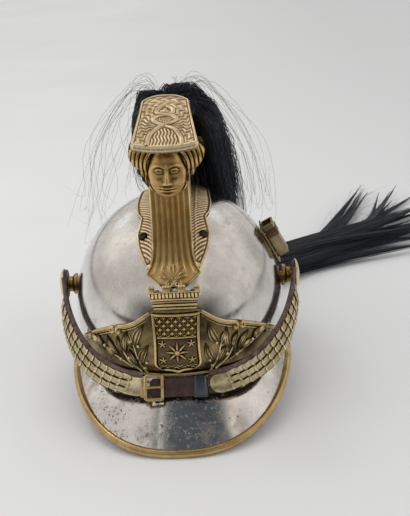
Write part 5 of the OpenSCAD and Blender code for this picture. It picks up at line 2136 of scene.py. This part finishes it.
        def place(s: Points, t: Points) -> Points:
            """Puts a grid point on the end plate."""
            q = s * 2 - 1
            x = 12 - 28.5 * t
            round_end = np.where(x < -6, np.sqrt(np.clip(1 - ((x + 6) / -10.6) ** 2, 0, 1)), 1)
            low, high = self.trim_low - 0.6 - STRAP.front_w / 2, STRAP.front_w / 2 - self.trim_top
            dome = 2.0 * (1 - q ** 2) * np.interp(t, [0, 0.2, 0.85, 1], [0.8, 1, 0.9, 0.1])
            return np.stack([x, (low + high) / 2 + q * (high - low) / 2 * round_end, 1.5 + dome], 1)

        obj = sheet(f"end_{node}", 24, 30, place, wall=1.0, inside=(0, 0, -60))
        seat(obj, self.on_strap(self.end_a))
        if side < 0:
            self.flip(obj)
        self.done(obj, "scale_brass", body, "brass", node)

    def cover(self, side: int, body: Body) -> None:
        """Domes the smooth plate that hides the stud under the first scales."""
        prof = [(0, 3.9), (3, 3.85), (7, 3.4), (10.5, 2.5), (13, 1.2), (13.9, 0.2), (13.5, -0.3),
                (12.6, 0.6), (10, 1.8), (6.6, 2.8), (0, 3.2)]
        middle = (side * (STRAP.half_span + self.stud_seat), STRAP.boss_y, STRAP.boss_z + 1)
        m = basis(middle, (0, side, 0), (0, 0, 1), (side, 0, 0))
        obj = turned(f"cover_{side}", prof, m, 48)
        relief_map(obj, 0.3)
        self.done(obj, "scale_brass", body, "brass")

    def studs(self) -> None:
        """Turns the bosses and studs at the sides."""
        for s, word in ((-1, "right"), (1, "left")):
            m = basis((s * (BOWL.half_w + 0.1), STRAP.boss_y, STRAP.boss_z), (0, s, 0), (0, 0, 1), (s, 0, 0))
            boss = turned(f"boss_{word}", [(3.1, 0), (10, 0), (10, 1.2), (9.4, 2.6), (8.2, 3.6), (7.2, 4.2),
                                           (7.0, 7.7), (6.2, 7.7), (3.1, 7.7), (3.1, 0)], m, 48)
            self.done(boss, "brass", Body.HELMET, "brass", f"{word}_boss")
            head = s * (STRAP.half_span + self.stud_seat)
            m = basis((head, STRAP.boss_y, STRAP.boss_z), (0, s, 0), (0, 0, 1), (s, 0, 0))
            stud = turned(f"stud_{word}", [(0, -20), (3, -20), (3, 0), (7.2, 0), (7.3, 0.4), (6.8, 0.9),
                                           (5.4, 1.3), (3.4, 1.6), (1.2, 1.75), (0, 1.8)], m, 40)
            self.done(stud, "bright_brass", Body.HELMET, "brass", f"{word}_boss_stud")
        self.keep("boss_nuts", "plain_iron")

    def buckle_place(self) -> Matrix:
        """The frame of the buckled ends: x along, y up the strap, z outwards."""
        w = math.radians(90 - STRAP.tilt)
        return basis((0, -STRAP.reach, STRAP.front_z), (1, 0, 0), (0, math.cos(w), math.sin(w)),
                     (0, -math.sin(w), math.cos(w)))

    def buckle(self) -> None:
        """Bends the buckle's frame, its prong, the tongue and the keeper."""
        m = self.buckle_place()
        z0 = STRAP.leather_t / 2 + 0.4
        x0, length, width = -29.5, 17.0, 16 + 2 * 3.4
        x1 = x0 + length
        c = 2.0
        loop = [(x0 + 1.5, -width / 2 + c), (x0 + 1.5, width / 2 - c),
                (x0 + 1.5 + c * 0.5, width / 2 - 1.5 - 0.2), (x0 + 1.5 + c, width / 2 - 1.5),
                (x1 - 1.5 - c, width / 2 - 1.5), (x1 - 1.7, width / 2 - 1.7), (x1 - 1.5, width / 2 - c - 1),
                (x1 - 1.5, -width / 2 + c + 1), (x1 - 1.7, -width / 2 + 1.7),
                (x1 - 1.5 - c, -width / 2 + 1.5), (x0 + 1.5 + c, -width / 2 + 1.5),
                (x0 + 1.5 + c * 0.5, -width / 2 + 1.7)]
        pts = np.array([(x, y, z0 + 1.2) for x, y in loop])
        bar = tube("buckle_bar", pts, 1.45, 12, closed=True, up=(0, 0, 1), flat=0.85)
        seat(bar, m)
        root = block("buckle_root", (3.4, 15, 3.4), 0.5, m @ Matrix.Translation((x0 - 1.2, 0, z0 + 0.2)))
        self.done(join("buckle_bars", [bar, root]), "bright_brass", Body.RIGHT_STRAP, "brass", "buckle_frame")
        q = np.array([(x0 + 1.5, 0, z0 + 3.2), (x0 + 4, 0, z0 + 3.4), (x0 + 9, 0, z0 + 3.2),
                      (x0 + 14, 0, z0 + 3.3), (x1 - 0.4, 0, z0 + 3.2)])
        prong = tube("prong_bar", spread(q, 20), np.linspace(1.15, 0.8, 20), 10, up=(0, 0, 1), flat=0.8)
        ring = turned("prong_ring", [(1.25, -1.6), (2.1, -1.6), (2.1, 1.6), (1.25, 1.6), (1.25, -1.6)],
                      basis((x0 + 1.5, 0, z0 + 1.2), (1, 0, 0), (0, 0, 1), (0, -1, 0)), 24)
        peg = turned("prong_peg", [(0, 0), (0.9, 0), (0.9, 4), (0, 4)],
                     Matrix.Translation((x0 + 1.5 + 8.4, 0, 0.2)), 16)
        prong = join("prong_tongue", [prong, ring, peg])
        seat(prong, m)
        self.done(prong, "bright_brass", Body.PRONG, "brass", "buckle_prong")
        self.tongue(m, x0 + 1.5)
        self.keeper(m)

    def tongue(self, m: Matrix, prong_x: float) -> None:
        """Cuts the strap's tongue with its rounded end and its holes.

        Args:
            m: The buckle's place.
            prong_x: Where the prong's bar is.
        """
        x0 = prong_x + 3.3
        x1 = float(STRAP.point(np.array(3.0))[0]) - 0.2

        def place(s: Points, t: Points) -> Points:
            """Puts a grid point on the tongue's skin."""
            x = x0 + (x1 - x0) * t ** 1.2
            k = 2 * np.pi * s
            half = 8 * np.sqrt(np.clip(1 - np.clip((x0 + 3.2 - x) / 3.2, 0, 1) ** 2, 0.02, 1))
            a = np.sign(np.cos(k)) * np.abs(np.cos(k)) ** 0.35
            b = np.sign(np.sin(k)) * np.abs(np.sin(k)) ** 0.7
            sag = 0.25 * np.sin(x * 0.6) * np.sin(a * 1.5)
            return np.stack([x, a * half, b * STRAP.leather_t / 2 + sag * 0.4], 1)

        obj = sheet("tongue_leather", 28, 90, place, closed=True)
        seat(obj, m)
        # the first hole holds the prong's peg, the other two show as punched eyes
        eye = [(0, 1.2), (1.5, 1.2), (1.7, 1.5), (2.1, 1.35), (2.3, 1.0), (0, 1.0)]
        spots = [m @ Matrix.Translation((prong_x + 8.4 + 9 * k, 0, 0)) for k in (1, 2)]
        eyes = [turned(f"eye_{k}", eye, spot, 20) for k, spot in enumerate(spots)]
        tongue = join("tongue_with_holes", [obj] + eyes)
        self.done(tongue, "strap_dark", Body.LEFT_STRAP, "strap_leather", "strap_tongue")

    def keeper(self, m: Matrix) -> None:
        """Folds the keeper: a steel sleeve with a bead at each edge."""
        half_w, half_t, r = 8 + 1.1, STRAP.leather_t / 2 + 1.1, 1.2
        section = []
        for sx, sy, a0 in ((1, 1, 0), (-1, 1, 90), (-1, -1, 180), (1, -1, 270)):
            for k in range(5):
                w = math.radians(a0 + 22.5 * k)
                section.append((sx * (half_w - r) + r * math.cos(w), sy * (half_t - r) + r * math.sin(w)))
        prof = np.array(section + section[:1])

        def place(s: Points, t: Points) -> Points:
            """Puts a grid point on the sleeve."""
            i = np.rint(s * (len(prof) - 1)).astype(int)
            swell = 0.5 * bump(t - 0.06, 0.09) + 0.5 * bump(t - 0.94, 0.09)
            k = 1 + swell[:, None] * np.array([0.05, 0.22])
            p = prof[i] * k
            return np.stack([12.5 + 11 * t, p[:, 0], p[:, 1]], 1)

        obj = sheet("keeper_sleeve", len(prof) - 1, 36, place, wall=0.9, inside=(18, 0, 0))
        seat(obj, m)
        self.done(obj, "keeper_metal", Body.KEEPER, "plain_steel", "keeper")

    def build(self) -> None:
        """Builds both straps."""
        for side, word, body, start in ((-1, "right", Body.RIGHT_STRAP, 8), (1, "left", Body.LEFT_STRAP, 3)):
            self.leather(side, start, f"{word}_strap", body)
            self.cord(side, f"{word}_strap", body)
            self.row(side, f"{word}_scales", body)
            self.end_plate(side, f"{word}_end_plate", body)
            self.cover(side, body)
        self.studs()
        self.buckle()


@dataclass
class Liner(Assembly):
    """The leather sweatband, its tongues and their lace."""

    gap: float = 4.5
    thick: float = 1.8
    band_h: float = 32
    tongues: int = 8
    lean: float = 0.55
    tongue_top: float = 158
    lace_z: float = 153

    def build(self) -> None:
        """Builds the liner inside the bowl."""
        off = -BOWL.wall - self.gap

        def band(s: Points, t: Points) -> Points:
            """Puts a grid point on the band, with a stitched hem at both edges."""
            z = BOWL.rim_z + 3 + self.band_h * t
            puff = 0.5 * np.sin(np.pi * t) - 0.5 * bell(t - 0.06, 0.02) - 0.5 * bell(t - 0.94, 0.02)
            return BOWL.by_angle(s * 360, z, off + puff * 0.6 - 0.3)

        obj = sheet("sweatband", 160, 30, band, wall=self.thick - 0.5)
        self.done(obj, "liner_leather", Body.HELMET, "liner_leather", "liner_band")
        made = []
        for k in range(self.tongues):
            u0 = (k + 0.5) * 360 / self.tongues

            def flap(s: Points, t: Points) -> Points:
                """Puts a grid point on a tongue."""
                z0 = BOWL.rim_z + 3.4 + self.band_h
                hw = 360 / self.tongues / 2 - 5
                hem = -0.4 * bell(t - 0.93, 0.03)
                lean = (off - self.thick / 2) * (1 + self.lean * t * t)
                return BOWL.by_angle(u0 + hw * (s * 2 - 1), z0 + (self.tongue_top - z0) * t, lean + hem)

            made.append(sheet(f"flap_{k}", 14, 20, flap, wall=self.thick - 0.3))
        self.done(join("liner_flaps", made), "liner_leather", Body.HELMET, "liner_leather", "liner_tongues")
        r = float(BOWL.radius(np.array(self.lace_z))) + off * (1 + self.lean) - 2.5 * self.thick - 3
        a = np.linspace(0, 2 * np.pi, 160, endpoint=False)
        ropes = []
        for k in range(2):
            w = a * 34 + k * np.pi
            out = r + 0.7 * np.cos(w)
            q = np.stack([out * np.sin(a), -BOWL.k * out * np.cos(a), self.lace_z + 0.7 * np.sin(w)], 1)
            ropes.append(tube(f"lace_{k}", q, 0.8, 7, closed=True))
        self.done(join("lace_twist", ropes), "cord", Body.HELMET, "liner_cord", "liner_lace")


# The studio


@dataclass
class Studio:
    """Floor, lights, world and camera."""

    azimuth: float = 1.1
    tilt: float = 20
    roll: float = 2.92
    place: tuple = (41.5, -880.7, 436.2)
    focal: float = 1020
    frame_h: int = 516

    def camera(self) -> None:
        """Sets the camera where the photograph was taken."""
        a, th, rho = (math.radians(v) for v in (self.azimuth, self.tilt, self.roll))
        n = np.array([math.sin(a) * math.cos(th), -math.cos(a) * math.cos(th), math.sin(th)])
        r = np.array([math.cos(a), math.sin(a), 0])
        u = np.array([-math.sin(a) * math.sin(th), math.cos(a) * math.sin(th), math.cos(th)])
        x = math.cos(rho) * r - math.sin(rho) * u
        y = math.sin(rho) * r + math.cos(rho) * u
        data = bpy.data.cameras.new("camera")
        data.sensor_fit = "VERTICAL"
        data.sensor_height = 24
        data.lens = self.focal / self.frame_h * 24
        data.clip_start, data.clip_end = 0.05, 50
        cam = bpy.data.objects.new("camera", data)
        bpy.context.collection.objects.link(cam)
        cam.matrix_world = basis(np.array(self.place) * MM, x, y, n)
        bpy.context.scene.camera = cam

    def lamp(self, name: str, place: Sequence[float], aim: Sequence[float], size: float, power: float,
             mirrored: bool = False) -> None:
        """Adds a soft square lamp.

        Args:
            name: Its name.
            place: Where it is, in metres.
            aim: What it points at.
            size: Its side in metres.
            power: Its power in watts.
            mirrored: Whether polished metal shows it.
        """
        data = bpy.data.lights.new(name, "AREA")
        data.shape, data.size, data.energy = "SQUARE", size, power
        lamp = bpy.data.objects.new(name, data)
        lamp.location = place
        lamp.rotation_euler = (Vector(aim) - Vector(place)).to_track_quat("-Z", "Y").to_euler()
        lamp.visible_glossy = mirrored
        bpy.context.collection.objects.link(lamp)

    def world(self) -> None:
        """Lights the room evenly, with darker corners that only the metal sees."""
        scene_world = bpy.data.worlds.new("studio")
        bpy.context.scene.world = scene_world
        scene_world.use_nodes = True
        tree = scene_world.node_tree
        back = tree.nodes["Background"]
        tools = Finish("world")
        way = add(tree, "ShaderNodeTexCoord").outputs["Generated"]
        rays = add(tree, "ShaderNodeLightPath")
        axes = add(tree, "ShaderNodeSeparateXYZ", {0: way}).outputs

        def window(*edges: tuple) -> bpy.types.NodeSocket:
            """Multiplies steps, each an axis with the value where it is 0 and where it is 1."""
            got = None
            for axis, none, full in edges:
                step = tools.span(tree, axes[axis], none, full, 0, 1)
                got = step if got is None else tools.math(tree, "MULTIPLY", got, step)
            return got

        # what the metal mirrors, later rows over earlier ones: a soft light box on each side,
        # the horizon, a side wall, two glints, the dark room in front, a dark opening over the
        # visor, and two bright lines beside it
        panes = (
            (1, "#fbf7f1", (0, -0.40, -0.62), (1, 0.0, 0.35), (2, 0.2, 0.5)),
            (0.8, "#f6f2ec", (0, 0.45, 0.70), (1, -0.3, 0.05), (2, 0.35, 0.6)),
            (0.6, "#4b4c4e", (2, -0.02, 0.0), (2, 0.06, 0.03), (1, 0.0, 0.4)),
            (0.5, "#85827a", (0, 0.62, 0.74), (0, 0.93, 0.84), (2, -0.02, 0.1), (2, 0.42, 0.26),
             (1, 0.35, 0.5)),
            (1, "#ffffff", (0, 0.28, 0.35), (0, 0.52, 0.43), (2, 0.50, 0.56), (2, 0.74, 0.66), (1, 0.5, 0.6)),
            (1, "#ffffff", (0, -0.66, -0.57), (0, -0.38, -0.46), (2, 0.30, 0.37), (2, 0.54, 0.46),
             (1, 0.5, 0.6)),
            (0.9, "#2b2723", (1, -0.35, -0.75), (2, 0.55, 0.25)),
            (0.93, "#3a444f", (0, -0.31, -0.25), (0, 0.47, 0.33), (1, 0.0, -0.18), (2, 0.55, 0.72)),
            (1, "#fffaf0", (0, -0.24, -0.215), (0, -0.17, -0.195), (1, 0.0, -0.18), (2, 0.55, 0.72)),
            (0.8, "#fff6e4", (0, 0.40, 0.45), (0, 0.56, 0.50), (1, 0.1, -0.1), (2, 0.5, 0.7)),
        )
        blur = tools.noise(tree, way, 330, 3)
        seen = tools.mix(tree, tools.math(tree, "MULTIPLY", blur, 0.35), "#e0ddd9", "#bdb8b3")
        for share, colour, *edges in panes:
            seen = tools.mix(tree, tools.math(tree, "MULTIPLY", window(*edges), share), seen, colour)
        shown = tools.mix(tree, rays.outputs["Is Glossy Ray"], "#d9d9d8", seen)
        tree.links.new(shown, back.inputs["Color"])
        back.inputs["Strength"].default_value = 1.0

    def floor(self, paper: bpy.types.Material) -> None:
        """Lays the pale paper floor.

        Args:
            paper: Its finish.
        """
        deselect()
        bpy.ops.mesh.primitive_plane_add(size=16)
        plane = bpy.context.object
        plane.name = "paper_floor"
        plane.data.materials.append(paper)

    def build(self, paper: bpy.types.Material) -> None:
        """Builds the studio."""
        self.world()
        self.floor(paper)
        self.lamp("key", (-1.0, -0.6, 2.0), (0, 0, 0.1), 1.6, 5)
        self.lamp("fill", (1.4, -0.8, 1.4), (0, 0, 0.1), 1.4, 2)
        self.lamp("sparkle", (-0.5, 0.2, 1.4), (0, 0, 0.1), 0.22, 1.2, True)
        view = bpy.context.scene.view_settings
        view.view_transform = "Standard"


def finishes() -> dict:
    """Builds every finish.

    Returns:
        Materials by name.
    """
    looks = {
        "steel": PolishedSteel("burnished_steel"),
        "visor_steel": PolishedSteel("pitted_steel", pitting=1.7, stain=0.8, gloss=0.1, pitted_x=-52,
                                     pit="#38231a"),
        "brass": AgedBrass("rolled_brass"),
        "bright_brass": AgedBrass("rubbed_brass", bright="#f0dcae", body="#c2a468", gloss=0.24),
        "edging": AgedBrass("edging_brass_roll", bright="#dcc08a", body="#b39463", gloss=0.26),
        "plate_brass": AgedBrass("tarnished_plate_brass", bright="#ffe2a0", body="#5a4b34",
                                 tarnish="#1d160e", tarnish_and_shade_strength=1.0, gloss=0.24, reach=0.4, deep=0.35, patchy=0.3),
        "crest_brass": AgedBrass("dull_stamped_brass", bright="#e0bd7c", body="#977643", tarnish="#3f2c16",
                                 gloss=0.3, reach=0.6, deep=0.45),
        "shield_brass": AgedBrass("tarnished_shield_brass", bright="#ffdf9c", body="#594c3a",
                                  tarnish="#241c15", tarnish_and_shade_strength=1.0, gloss=0.3, reach=0.5, deep=0.35, patchy=0.1),
        "leaf_brass": AgedBrass("embossed_leaf_brass", bright="#ffeebd", body="#9a7a44", tarnish="#3a2b18",
                                gloss=0.24, reach=0.5, deep=0.4),
        "flute_brass": AgedBrass("fluted_brass", bright="#ffe8ad", body="#dcae66", tarnish="#664720",
                                 gloss=0.34, reach=0.45, deep=0.6),
        "crown_brass": AgedBrass("beaded_brass", bright="#ffe6ac", body="#a98854", tarnish="#2e2317",
                                 gloss=0.26, tarnish_and_shade_strength=1.0, reach=0.4, deep=0.4),
        "panel_brass": AgedBrass("panel_stamped_brass", bright="#f7e2bd", body="#c9ad86", tarnish="#664c30",
                                 gloss=0.36, reach=0.5, deep=0.45),
        # the scales' relief carries rubbed wear together with painted highlights on their rims and painted
        # shadow in their notches
        "scale_brass": AgedBrass("scale_brass_wear_and_painted_light", bright="#fbefcb", body="#c8b68b", tarnish="#3f321d",
                                 gloss=0.26, tarnish_and_shade_strength=1.0, deep=0.4),
        "socket_metal": AgedBrass("tinned_brass", bright="#c9ba92", body="#998a63", tarnish="#3c3527"),
        "collar_brown": AgedBrass("browned_brass", bright="#8a6a4c", body="#5f4530", tarnish="#2c1f16",
                                  gloss=0.4),
        "black_iron": PolishedSteel("blackened_iron", light="#3b332b", cloud="#241f1b", gloss=0.4, stain=1.0),
        "plain_iron": PolishedSteel("plain_iron", light="#8d8a84", cloud="#6f6c66", gloss=0.3),
        # the keeper's steel is painted dark: a painted dark reflection
        "keeper_metal": PolishedSteel("keeper_steel_painted_dark", light="#6d727b", cloud="#3a3d43", gloss=0.2),
        "leather": StrapLeather("bridle_leather"),
        "edge_leather": StrapLeather("rubbed_edge_leather", body="#4b3531", worn="#7f665f", gloss=0.5),
        "strap_dark": StrapLeather("tongue_leather", body="#2a1819", worn="#4f2d2b", gloss=0.34),
        "liner_leather": StrapLeather("liner_calf", body="#5d3f28", worn="#8a6645", gloss=0.5),
        "wood": StrapLeather("stained_beech", body="#2c2119", worn="#4a3829", gloss=0.6),
        "cord": StrapLeather("waxed_cord", body="#211a15", worn="#3d3128", gloss=0.6),
        "hair": Horsehair("black_horsehair"),
        "hair_core": Horsehair("matted_horsehair", dark="#08090c", pale="#121318", gloss=0.6),
        "paper": Painted("studio_paper"),
    }
    return {key: finish.build() for key, finish in looks.items()}


def main() -> None:
    """Builds the scene in order."""
    logging.basicConfig(level=logging.INFO, format="%(message)s")
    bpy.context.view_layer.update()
    looks = finishes()
    studio = Studio()
    studio.camera()
    for kind in (Shell, FrontPlate, Crest, Mane, Socket, Chinstraps, Liner):
        group = kind(looks)
        group.build()
        log.info("%s: %s", kind.__name__, ", ".join(group.made))
    studio.build(looks["paper"])
    deselect()


if __name__ == "__main__":
    main()
